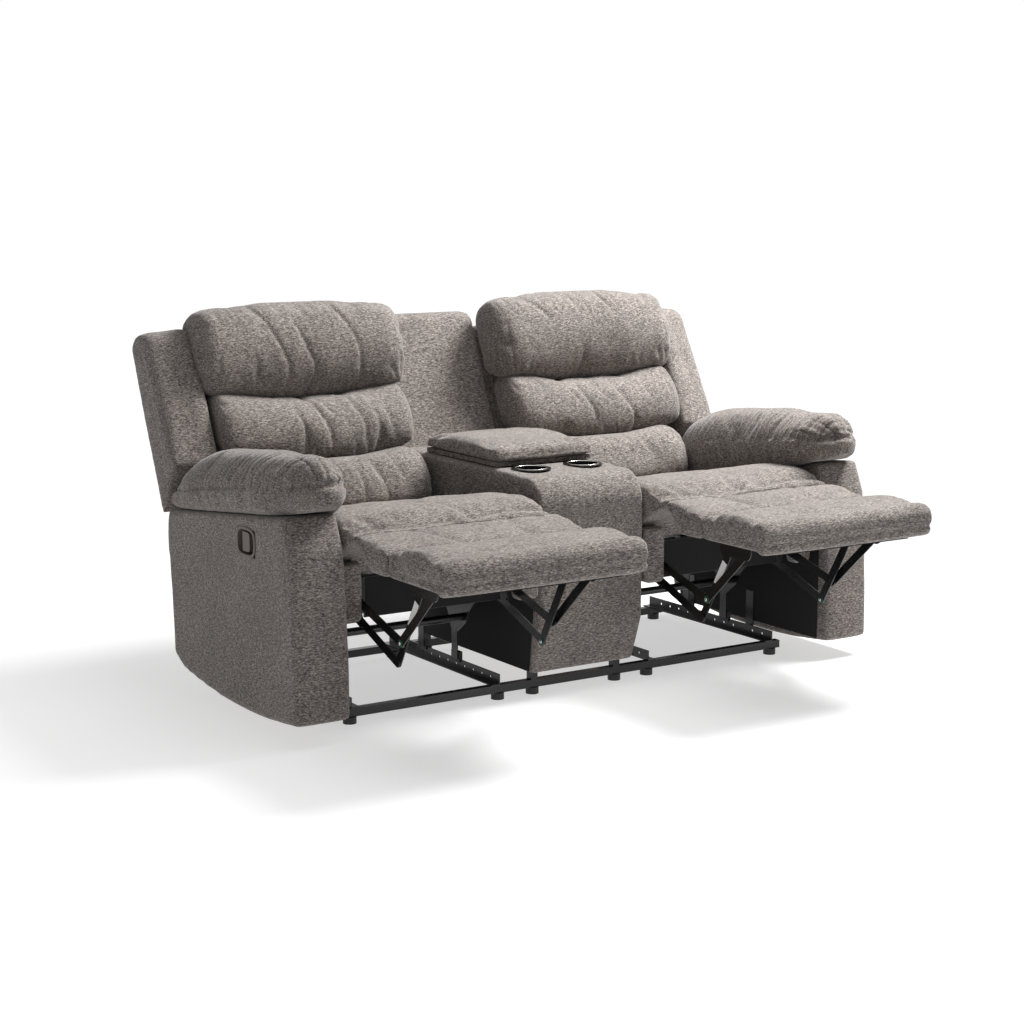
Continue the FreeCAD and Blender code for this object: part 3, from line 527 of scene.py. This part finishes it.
def pillowLook(kind, name, side):
    seam, grow = pillowShape[kind]["seam"], pillowShape[kind]["grow"]
    key = kind + "_" + name
    seed = 3 + len(key) * 5 + (2 if side > 0 else 0)
    lines = [{"plane": "xz", "points": p, "depth": seam, "width": 4.0, "facing": front}
             for p in pillowTucks[key]]
    low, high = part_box(kind + "_pillow_" + name)
    middle, half = (low.x + high.x) / 2, (high.x - low.x) / 2

    def plump(co):
        along = side * (co[:, 0] - middle) / half
        height = 2 * (co[:, 2] - low.z) / (high.z - low.z) - 1
        co[:, 0] += side * np.where(along < 0, -grow[0], grow[1]) / 1000 * np.clip(np.abs(along), 0, 1) ** 3
        co[:, 2] += np.where(height < 0, -grow[2], grow[3]) / 1000 * np.clip(np.abs(height), 0, 1) ** 3
        return co

    def drape(co, normal):
        across = np.abs(co[:, 0] - middle) / half
        ends = np.clip((across - pillowCloth["gatherFrom"]) / pillowCloth["gatherOver"], 0, 1)
        soft = (wrinkles(co, pillowCloth["broadFolds"], pillowCloth["broadHeight"], seed)
                + wrinkles(co, pillowCloth["smallFolds"], pillowCloth["smallHeight"], seed + 1))
        gathered = wave(co[:, 2] + 0.4 * co[:, 1], pillowCloth["gatherStep"], seed + 2)
        gathered = gathered * ends ** 2 * pillowCloth["gatherHeight"] / 1000
        return (soft + gathered) * towards(front)(co, normal)

    def puckers(co, normal):
        height = (co[:, 2] - low.z) / (high.z - low.z)
        nearLow = np.exp(-((height - pillowCloth["lowSeam"]) / pillowCloth["lowSpread"]) ** 2)
        nearHigh = np.exp(-((height - pillowCloth["highSeam"]) / pillowCloth["highSpread"]) ** 2)
        slant = co[:, 0] + 0.25 * co[:, 2] + 0.01 * cellNoise(co * 12, seed + 8)
        fine = 0.8 * wave(slant, pillowCloth["puckerStep"], seed + 4)
        fine = fine - 1.6 * creases(slant, pillowCloth["creaseStep"], seed + 6)
        nearSeam = nearLow + 0.6 * nearHigh
        return pillowCloth["puckerHeight"] / 1000 * fine * nearSeam * towards(front)(co, normal)

    return {"voxel": 8.5, "round": 5, "shrink": 0.0, "pressure": 5.0, "cap": 12.0, "ease": 0.04, "fill": 0.8,
            "shape": [plump], "tucks": lines, "held": [againstBoard], "folds": [drape, puckers]}


for name, side in sides:
    for kind in ("head", "middle", "lower"):
        look = pillowLook(kind, name, side)
        stuffed("pillow_" + kind + "_" + name, kind + "_pillow_" + name, "back_" + name, look)
print("pillows cut")


seatPad = {"half": 296, "voxel": 9.5, "round": 4, "shrink": 1.0, "pressure": 5.0, "cap": 8.0, "ease": 0.03,
           "fill": 0.75}
bridgePad = {"voxel": 8.5, "round": 1, "shrink": 1.0, "pressure": 4.0, "cap": 4.0, "ease": 0.02, "fill": 0.7}
footrestPad = {"half": 300, "voxel": 8.5, "round": 2, "shrink": 2.5, "pressure": 5.0, "cap": 5.0,
               "ease": 0.025, "fill": 0.8}


def seatLines(side):
    cx = side * seatCentre * 1000
    left, right = cx - seatPad["half"], cx + seatPad["half"]
    rear = [(left, 316), (cx - 110, 330), (cx + 90, 322), (right, 334)]
    slanted = [(cx - 50, 180), (cx + 10, 120), (cx + 55, 30)]
    if side > 0:
        slanted = [(cx + 30, 190), (cx + 28, 90), (cx - 60, 10)]
    lines = [
        {"points": rear, "depth": 12, "width": 13},
        {"points": [(left, 22), (cx - 120, 6), (cx - 10, 14)], "depth": 8, "width": 12},
        {"points": [(cx + 60, 20), (cx + 180, 40), (right, 30)], "depth": 10, "width": 12},
        {"points": slanted, "depth": 4, "width": 11},
        {"points": [(cx + 40, 300), (cx + 20, 230)], "depth": 4, "width": 11},
    ]
    return [dict(line, plane="xy", facing=top, fade=False) for line in lines]


def seatFolds(seed, strength=1.0):
    def spread(co, normal):
        rolled = (wrinkles(co, (150, 120, 200), 5.0 * strength, seed)
                  + wrinkles(co, (60, 45, 90), 2.2 * strength, seed + 1))
        creased = wrinkles(co, (95, 22, 60), 1.2 * strength, seed + 2)
        return (rolled + creased) * towards(top)(co, normal)
    return [spread]


frontRoll = {"depth": 112, "blend": 50, "height": 500, "fade": 100, "rise": 48}  # mm


def thinFront(co):  # ahead of the seat box the cushion is a thin roll: its underside rises
    depth = co[:, 1] + depthShift
    ahead = np.clip((frontRoll["depth"] / 1000 - depth) / (frontRoll["blend"] / 1000), 0, 1)
    low = np.clip((frontRoll["height"] / 1000 - co[:, 2]) / (frontRoll["fade"] / 1000), 0, 1)
    co[:, 2] += frontRoll["rise"] / 1000 * ahead * low
    return co


valley = {"reach": 50, "fade": 20}  # mm


# pushes the top of a pad's end forward or back, so that neighbours meet in a shallow valley;
# a place is its depth, the height it starts at and how far it moves, in mm
def meet(places):
    def push(co):
        for place, floor, reach in places:
            near = np.clip(1 - np.abs(co[:, 1] + depthShift - place / 1000) / (valley["reach"] / 1000), 0, 1)
            high = np.clip((co[:, 2] - floor / 1000) / (valley["fade"] / 1000), 0, 1)
            co[:, 1] += reach / 1000 * near * high
        return co
    return push


rim = {"depth": -398, "blend": 12, "height": 443, "fade": 40, "drop": 12}  # mm


def footrestRim(co):  # the front rim hangs past the edge of the board and hides it
    before = np.clip((rim["depth"] / 1000 - (co[:, 1] + depthShift)) / (rim["blend"] / 1000), 0, 1)
    co[:, 2] -= rim["drop"] / 1000 * before * np.clip(
        1 - (co[:, 2] - rim["height"] / 1000) / (rim["fade"] / 1000), 0, 1)
    return co


def bridgeLines(cx):
    lines = [[(cx - 150, -12), (cx - 120, -70), (cx - 70, -160)],
             [(cx + 150, -20), (cx + 110, -90), (cx + 140, -160)]]
    return [{"plane": "xy", "points": points, "depth": 4, "width": 12, "facing": top, "fade": True}
            for points in lines]


def footrestLines(cx):
    left, right = cx - footrestPad["half"], cx + footrestPad["half"]
    across = [(cx - seatPad["half"], -205), (cx - 160, -196), (cx, -204), (cx + seatPad["half"], -198)]
    edge = [(-440, 466), (-300, 468), (-170, 464)]
    return [
        {"plane": "xy", "points": across, "depth": 5, "width": 16, "facing": top, "fade": False},
        {"plane": "xz", "points": [(left, 466), (cx, 464), (right, 466)], "depth": 4, "width": 4,
         "facing": (0, -1, 0), "fade": False},
        {"plane": "yz", "points": edge, "depth": 4, "width": 4, "facing": (1, 0, 0), "fade": False},
        {"plane": "yz", "points": edge, "depth": 4, "width": 4, "facing": (-1, 0, 0), "fade": False}]


for name, side in sides:
    cx = side * seatCentre * 1000
    seed = 40 if side < 0 else 57
    stuffed("seat_pad_" + name, "seat_cushion_" + name, "seat_" + name,
            dict(seatPad, shape=[thinFront, meet([(-11, 502, -3)])], tucks=seatLines(side),
                 held=[underside, faces(1, 1, 0.7)], folds=seatFolds(seed)))
    stuffed("bridge_" + name, "bridge_pad_" + name, "bridge_" + name,
            dict(bridgePad, shape=[meet([(-13, 502, 3), (-165, 455, -6)])], tucks=bridgeLines(cx),
                 held=[faces(2, -1, 0.3)], folds=seatFolds(seed + 5, 0.6)))
    stuffed("footrest_" + name, "footrest_pad_" + name, "footrest_" + name,
            dict(footrestPad, shape=[footrestRim, meet([(-166, 455, 6)])], tucks=footrestLines(cx),
                 held=[underside], folds=seatFolds(seed + 9, 0.55)))
print("seats cut")


padMiddle = 844  # mm from the arms' middle to the middle of a pad
padSideSeam = [(760, 548), (623, 572), (400, 606), (143, 636), (95, 640)]
# arch of the nose panel, from the pad's middle
padNose = [(-101, 585), (-98, 622), (-76, 652), (-6, 664), (64, 654), (94, 624), (101, 585)]
padCloth = {  # mm
    "gatherHeight": 3.6, "gatherStep": 19, "gatherCrease": 13,
    "rayStep": 15, "rayCrease": 11, "hubHeight": 560,
    "broadFolds": (120, 160, 120), "broadHeight": 3.0,
}


def armPadFolds(side, seed):
    middle = side * padMiddle
    arch = lineOf("xz", [(middle + side * -p[0], p[1]) for p in padNose])
    hub = np.array([middle / 1000, padCloth["hubHeight"] / 1000])

    def gathers(co, normal):  # upright gathers above the side seam, stronger toward the front
        depth = co[:, 1] + depthShift
        seamHeight = np.interp(depth, [0.0, 0.143, 0.4, 0.76], [0.64, 0.636, 0.606, 0.548])
        over = co[:, 2] - seamHeight
        above = np.clip(over / 0.008, 0, 1) * np.exp(-(over / 0.12) ** 2)
        slant = co[:, 1] + 0.2 * co[:, 2] + 0.012 * cellNoise(co * 14, seed + 9)
        upright = 1.2 * wave(slant, padCloth["gatherStep"], seed)
        upright = upright - 2.0 * creases(slant, padCloth["gatherCrease"], seed + 1)
        forward = np.clip((0.66 - depth) / 0.35, 0.25, 1)
        sideFace = np.clip(np.abs(normal[:, 0]) * 2, 0.3, 1)
        return padCloth["gatherHeight"] / 1000 * upright * above * forward * sideFace

    def nose(co, normal):  # gathers that fan out from the nose panel
        depth = co[:, 1] + depthShift
        flat = co[:, (0, 2)] - hub
        angle = np.arctan2(flat[:, 1], flat[:, 0])
        edge = np.interp(flat[:, 0] * 1000 * -side, [p[0] for p in padNose], [p[1] for p in padNose]) / 1000
        rays = 1.2 * wave(angle * 0.11, padCloth["rayStep"], seed + 5)
        rays = rays - 2.0 * creases(angle * 0.11, padCloth["rayCrease"], seed + 6)
        near = lineDistance(co[:, (0, 2)], arch)[0]
        outside = np.clip((co[:, 2] - edge) / 0.008, 0, 1)
        forward = np.clip((0.17 - depth) / 0.12, 0, 1)
        return padCloth["gatherHeight"] / 1000 * rays * outside * np.exp(-(near / 0.07) ** 2) * forward

    def body(co, normal):
        soft = wrinkles(co, padCloth["broadFolds"], padCloth["broadHeight"], seed + 7)
        return soft * np.clip(normal[:, 2] + 0.6, 0, 1)
    return [gathers, nose, body]


droop = {  # metres; fall by depth, from the nose to the rear
    "depths": [0.0, 0.06, 0.33, 0.64], "falls": [0.004, 0.016, 0.034, 0.056],
    "innerFace": 0.785, "crown": 0.004, "noseCrown": 0.012,
}


def padDroop(co):  # the pad hangs over the inner face of the arm, down to the seat
    depth, outward = co[:, 1] + depthShift, np.abs(co[:, 0])
    fall = np.interp(depth, droop["depths"], droop["falls"])
    armTop = 0.575 - 0.108 * (depth - 0.06)
    inside = np.clip((droop["innerFace"] - outward) / 0.03, 0, 1)
    low = np.clip(1 - (co[:, 2] - armTop) / 0.11, 0, 1)
    co[:, 2] -= fall * inside * low
    crown = droop["crown"] + droop["noseCrown"] * np.exp(-((depth - 0.14) / 0.16) ** 2)
    co[:, 2] += crown * np.clip((co[:, 2] - armTop - 0.03) / 0.06, 0, 1)
    return co


armrest = {"voxel": 8.0, "round": 4, "shrink": 0.5, "pressure": 5.0, "cap": 11.0, "ease": 0.035, "fill": 0.85}
for name, side in sides:
    arch = [(side * padMiddle - side * p[0], p[1]) for p in padNose]
    along = {"plane": "yz", "points": padSideSeam, "fade": True}
    seams = [dict(along, depth=7, width=4, facing=(side, 0, 0)),
             dict(along, depth=2, width=5, facing=(-side, 0, 0)),
             {"plane": "xz", "points": arch, "depth": 6, "width": 5, "facing": (0, -1, 0.2), "fade": False}]
    stuffed("armrest_" + name, "arm_pad_" + name, "base",
            dict(armrest, shape=[padDroop], tucks=seams, held=[underside],
                 folds=armPadFolds(side, 71 if side < 0 else 83)))

lidPad = {"voxel": 7.5, "round": 7, "shrink": 3.0, "pressure": 4.0, "cap": 7.0, "ease": 0.01, "fill": 0.9}
stuffed("lid_pad", "lid_cushion", "console_lid",
        dict(lidPad, tucks=[], held=[underside],
             folds=[lambda co, normal: wrinkles(co, (120, 120, 90), 1.6, 17)]))
print("arm and lid pads cut")

simulateAll()
print("cushions blown up")
finishSoft()
print("cushions finished")


# covered frames: fabric pulled tight over board

def covered(name, nodeName, body, look):
    piece = copyOfNode(name, nodeName, look["voxel"], look.get("filler", ()))
    mesh = piece.data
    relax(mesh, look["round"])
    co, normal = coords(mesh), normals(mesh)
    lift = wrinkles(co, (210, 230, 190), look["loose"], look["seed"])
    for line in look["seams"]:
        lift -= tuck(co, normal, fade=False, **line)
    for extra in look.get("folds", []):
        lift += extra(co, normal)
    setCoords(mesh, co + normal * lift[:, None])
    if look.get("cut"):
        work = bmesh.new()
        addBox(work, *look["cut"])
        cutter = pieceFrom(work, "cutter", None)
        pocket = piece.modifiers.new("pocket", "BOOLEAN")
        pocket.operation, pocket.object, pocket.solver = "DIFFERENCE", cutter, "EXACT"
        baked(piece)
        bpy.data.objects.remove(cutter)
        piece.data.materials.clear()
        piece.data.materials.append(fabric)
    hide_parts(nodeName)
    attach(piece, body)


handlePocket = {  # mm: sideways, depth and height of the pocket, and of the filler that closes the CAD one
    "x": (915.6, 950), "depth": (210, 308), "height": (450.5, 519.5),
    "fillerX": (905, 939.9), "fillerDepth": (205, 313), "fillerHeight": (445, 525),
}
armCoverSeam = [(22, 58), (30, 282), (46, 488), (74, 560)]
wingSeam = [(772, 545), (800, 640), (858, 800), (930, 935)]


def boxOf(side, x, depth, height):
    low, high = sorted((side * x[0] / 1000, side * x[1] / 1000))
    return (Vector((low, at(0, depth[0], 0).y, height[0] / 1000)),
            Vector((high, at(0, depth[1], 0).y, height[1] / 1000)))


for name, side in sides:
    pocket = boxOf(side, handlePocket["x"], handlePocket["depth"], handlePocket["height"])
    filler = boxOf(side, handlePocket["fillerX"], handlePocket["fillerDepth"], handlePocket["fillerHeight"])
    covered("arm_cover_" + name, "arm_" + name, "base",
            {"voxel": 7.5, "round": 5, "loose": 1.6, "seed": 5 + side, "fill": 1.0, "filler": [filler],
             "cut": pocket,
             "seams": [{"plane": "yz", "points": armCoverSeam, "depth": 2.0, "width": 3.0,
                        "facing": (out, 0, 0)} for out in (side, -side)]})
    covered("wing_" + name, "back_wing_" + name, "back_" + name,
            {"voxel": 7.5, "round": 5, "loose": 2.2, "seed": 15 + side, "fill": 0.9,
             "seams": [{"plane": "yz", "points": wingSeam, "depth": 2.5, "width": 3.5,
                        "facing": (side, 0, 0)}],
             "folds": [lambda co, normal: wrinkles(co, (200, 60, 45), 1.4, 33) * towards(front)(co, normal)]})
    covered("back_cover_" + name, "back_shell_" + name, "back_" + name,
            {"voxel": 9.0, "round": 3, "loose": 1.8, "seed": 25 + side, "fill": 1.0, "seams": []})
    covered("seat_corners_" + name, "seat_ears_" + name, "seat_" + name,
            {"voxel": 6.0, "round": 5, "loose": 1.0, "seed": 35 + side, "fill": 1.0, "seams": []})

covered("console_cover", "console_body", "base",
        {"voxel": 7.5, "round": 5, "loose": 1.2, "seed": 45, "fill": 1.0,
         "seams": [{"plane": "xz", "points": [(-172, 548), (0, 548), (172, 548)], "depth": 0.6, "width": 3.0,
                    "facing": (0, -1, 0)}]})
covered("console_back_cover", "console_back", "base",
        {"voxel": 8.0, "round": 7, "loose": 2.0, "seed": 55, "fill": 1.0, "seams": []})
print("arms, wings, backs and console covered")


# small trim

# a turned piece: (radius, height) in mm along an axis that starts at a point
def turned(name, profile, centre, axis, material, body, segments):
    work = bmesh.new()
    turn = Vector((0, 0, 1)).rotation_difference(Vector(axis)).to_matrix()
    rings = []
    for radius, height in profile:
        ring = []
        for k in range(segments):
            a = 2 * math.pi * k / segments
            local = Vector((radius * math.cos(a), radius * math.sin(a), height)) / 1000
            ring.append(work.verts.new(turn @ local + centre))
        rings.append(ring)
    for low, high in zip(rings[:-1], rings[1:]):
        for k in range(segments):
            work.faces.new((low[k], low[(k + 1) % segments], high[(k + 1) % segments], high[k]))
    if profile[0] == profile[-1]:
        bmesh.ops.remove_doubles(work, verts=work.verts, dist=1e-7)
    else:
        work.faces.new(list(reversed(rings[0])))
        work.faces.new(rings[-1])
    bmesh.ops.recalc_face_normals(work, faces=work.faces)
    piece = pieceFrom(work, name, material)
    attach(piece, body)


cupRim = {"spacing": 172.0, "depth": 246.0, "top": 608.7, "outer": 45.2, "inner": 42.6}  # mm
for name, side in sides:
    o, i = cupRim["outer"], cupRim["inner"]
    profile = [(o, 0), (o - 0.5, 0.9), (i + 0.5, 0.9), (i, 0),
               (i, -2.0), (i + 0.4, -2.0), (i + 0.4, 0), (o, 0)]
    centre = at(side * cupRim["spacing"] / 2, cupRim["depth"], cupRim["top"])
    turned("cup_rim_" + name, profile, centre, (0, 0, 1), satinRim, "base", 64)

# rivets of the mechanism in mm: depth, height, sideways from the middle of the seat, which way the head
# points, and the body that carries it
pivots = {
    "plate": (123.6, 335.1, 227.8, 1, "seat_"),
    "kneeRear": (-110.0, 264.9, 231.2, 1, "link_rear_"),
    "kneeFront": (-75.0, 207.3, 209.8, -1, "link_front_"),
    "footRear": (-189.9, 412.0, 209.8, -1, "footrest_"),
}
dome = [(5.6, 0), (5.2, 1.0), (3.8, 1.9), (1.6, 2.4), (0.2, 2.5)]
washer = [(9.4, -0.1), (9.4, 0.25), (6.0, 0.25), (6.0, -0.1), (9.4, -0.1)]
for name, side in sides:
    for label, (depth, height, offset, outward, body) in pivots.items():
        for out in (-1, 1):
            centre = at(side * seatCentre * 1000 + out * offset, depth, height)
            tag = name + ("_a" if out < 0 else "_b")
            axis = (out * outward, 0, 0)
            turned("rivet_" + label + "_" + tag, dome, centre, axis, zinc, body + name, 20)
            if label in ("kneeRear", "kneeFront"):
                turned("washer_" + label + "_" + tag, washer, centre - Vector((out * outward * 0.002, 0, 0)),
                       axis, greenWasher, body + name, 28)


surround = {  # mm; each loop is its length, height, squareness and sideways place
    "depth": 259, "height": 485, "points": 48,
    "loops": [(106, 77, 3.2, 940.2), (106, 77, 3.2, 942.6), (102, 73, 3.2, 943.8), (93, 65, 3.4, 943.8),
              (91, 63, 3.4, 942.9), (90, 61.5, 3.6, 917.2)],
}


def bezel(name, side):  # moulded oval surround with its finger pocket, as loops that shrink and step inwards
    work = bmesh.new()
    loops = []
    count = surround["points"]
    for length, height, power, x in surround["loops"]:
        loop = []
        for k in range(count):
            a = 2 * math.pi * k / count
            c, d = math.cos(a), math.sin(a)
            u = math.copysign(abs(c) ** (2 / power), c) * length / 2
            v = math.copysign(abs(d) ** (2 / power), d) * height / 2
            loop.append(work.verts.new(at(side * x, surround["depth"] + u, surround["height"] + v)))
        loops.append(loop)
    for low, high in zip(loops[:-1], loops[1:]):
        for k in range(count):
            work.faces.new((low[k], low[(k + 1) % count], high[(k + 1) % count], high[k]))
    work.faces.new(loops[-1])
    bmesh.ops.recalc_face_normals(work, faces=work.faces)
    piece = pieceFrom(work, "bezel_" + name, handleAbs)
    crisp = piece.modifiers.new("crisp", "EDGE_SPLIT")
    crisp.split_angle = math.radians(40)
    baked(piece)
    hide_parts("handle_bezel_" + name)
    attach(piece, "base")


for name, side in sides:
    bezel(name, side)


def plate(name, corners, thickness, normal, material, body):  # a thin flat piece from its corners
    work = bmesh.new()
    lower = [work.verts.new(c) for c in corners]
    upper = [work.verts.new(c + Vector(normal) * thickness / 1000) for c in corners]
    work.faces.new(list(reversed(lower)))
    work.faces.new(upper)
    for k in range(len(corners)):
        j = (k + 1) % len(corners)
        work.faces.new((lower[k], lower[j], upper[j], upper[k]))
    bmesh.ops.recalc_face_normals(work, faces=work.faces)
    piece = pieceFrom(work, name, material)
    for polygon in piece.data.polygons:
        polygon.use_smooth = False
    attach(piece, body)


# where it starts and ends, as shares of the link, and its sizes in mm
sticker = {"from": 0.5, "to": 0.82, "half": 10.5, "inward": 215.02, "thick": 0.15}
for name, side in sides:
    kneeFront, footRear = Vector(pivots["kneeFront"][:2]), Vector(pivots["footRear"][:2])
    along = (footRear - kneeFront).normalized()
    across = Vector((-along.y, along.x)) * sticker["half"]
    low, high = kneeFront.lerp(footRear, sticker["from"]), kneeFront.lerp(footRear, sticker["to"])
    face = side * seatCentre * 1000 - sticker["inward"]
    corners = [at(face, p.x, p.y) for p in (low - across, high - across, high + across, low + across)]
    plate("sticker_" + name, corners, sticker["thick"], (-1, 0, 0), stickerVinyl,
          "link_short_" + name)
print("trim made")


# black dust cloth on the inner faces of the arms and the sides of the console

def clothSheet(name, corners, across, down, body):  # a flat stretched sheet between four corners
    work = bmesh.new()
    a, b, c, d = corners
    grid = []
    for i in range(across + 1):
        u = i / across
        column = []
        for j in range(down + 1):
            v = j / down
            column.append(work.verts.new(a.lerp(b, u).lerp(d.lerp(c, u), v)))
        grid.append(column)
    for i in range(across):
        for j in range(down):
            work.faces.new((grid[i][j], grid[i + 1][j], grid[i + 1][j + 1], grid[i][j + 1]))
    piece = pieceFrom(work, name, dustCloth)
    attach(piece, body)


dustSheets = {  # mm: how far sideways, and corners as (depth, height) or, in front, (sideways, height)
    "armSide": 781.4, "arm": [(40, 60), (690, 60), (735, 400), (40, 440)],
    "consoleSide": 173.4, "console": [(122, 72), (690, 72), (690, 430), (80, 430)],
    "frontDepth": 112.5, "front": [(-205, 287), (205, 287), (205, 390), (-205, 390)],
}
for name, side in sides:
    x = side * dustSheets["armSide"]
    clothSheet("dust_cloth_arm_" + name, [at(x, *place) for place in dustSheets["arm"]], 24, 16,
               "base")
    x = side * dustSheets["consoleSide"]
    clothSheet("dust_cloth_console_" + name, [at(x, *place) for place in dustSheets["console"]], 24, 16,
               "base")
    cx = side * seatCentre * 1000
    corners = [at(cx + across, dustSheets["frontDepth"], height) for across, height in dustSheets["front"]]
    clothSheet("dust_cloth_front_" + name, corners, 24, 8, "seat_" + name)
print("dust cloth hung")


# stage, light, camera

lamps = [  # name, place and aim in metres, size in metres, watts
    ("keySoftbox", (2.1, -0.2, 3.3), (0.2, 0.1, 0.5), 1.5, 285.0),
    ("overheadSoftbox", (0.2, -0.3, 3.4), (0.0, 0.0, 0.4), 2.6, 40.0),
    ("leftFill", (-3.8, -2.4, 1.8), (-0.6, 0.0, 0.5), 2.2, 7.0),
]


def studio():
    scene = bpy.context.scene
    work = bmesh.new()
    bmesh.ops.create_grid(work, x_segments=1, y_segments=1, size=14.0)
    white, tree, surface = newMaterial("PaleStudioFloor")
    surface.inputs["Roughness"].default_value = 0.9
    # lit paper close to the sofa, where a glow of about half strength is painted light that lifts its shadows
    # and lights the sofa from below; plain glowing white where it runs off into the background
    place = addNode(tree, "TexCoord").outputs["Object"]
    reach = addNode(tree, "VectorMath", {0: place}, operation="LENGTH").outputs["Value"]
    far = addNode(tree, "MapRange", {"Value": reach, "From Min": 0.9, "From Max": 3.0, "To Min": 0.56,
                                     "To Max": 1.0}, interpolation_type="SMOOTHSTEP").outputs["Result"]
    paper = ramp(tree, far, (0.56, linear("#c4c4c4")), (1.0, linear("#000000")))
    tree.links.new(paper, surface.inputs["Base Color"])
    # painted light: the floor's white glow, its strength rising from 0.56 near the sofa to 1 far off
    surface.inputs["Emission Color"].default_value = linear("#fdfdfd")
    tree.links.new(far, surface.inputs["Emission Strength"])
    pieceFrom(work, "studio_floor", white)
    world = bpy.data.worlds.new("studio")
    world.use_nodes = True
    scene.world = world
    tree = world.node_tree
    tree.nodes.clear()
    rays = addNode(tree, "LightPath")
    seen = addNode(tree, "Math", {0: rays.outputs["Is Camera Ray"], 1: rays.outputs["Is Glossy Ray"]},
                   operation="MAXIMUM")
    strength = addNode(tree, "MapRange", {"Value": seen.outputs[0], "To Min": 0.17, "To Max": 1.0})
    sky = addNode(tree, "Background", {"Color": (1, 1, 1, 1), "Strength": strength.outputs["Result"]})
    addNode(tree, "OutputWorld", {"Surface": sky.outputs["Background"]})
    for label, place, aim, size, power in lamps:
        lamp = bpy.data.lights.new(label, "AREA")
        lamp.shape, lamp.size, lamp.energy = "DISK", size, power
        holder = bpy.data.objects.new(label, lamp)
        bpy.context.collection.objects.link(holder)
        holder.location = place
        holder.rotation_euler = (Vector(aim) - Vector(place)).to_track_quat("-Z", "Y").to_euler()
    scene.view_settings.view_transform = "Standard"


studio()

# mm from the arms' front foot, degrees, and mm of lens, from the camera fitted to the photograph
cameraAim = {"place": (-3112.8, -4330.8, 1408.8), "turn": 32.93, "down": 9.55, "lens": 71.14}
lens = bpy.data.cameras.new("photoView")
lens.lens, lens.sensor_width, lens.clip_end = cameraAim["lens"], 36.0, 100.0
camera = bpy.data.objects.new("photoView", lens)
bpy.context.collection.objects.link(camera)
camera.location = at(*cameraAim["place"])
camera.rotation_euler = (math.radians(90 - cameraAim["down"]), 0, math.radians(-cameraAim["turn"]))
bpy.context.scene.camera = camera
print("stage, lamps and camera set")
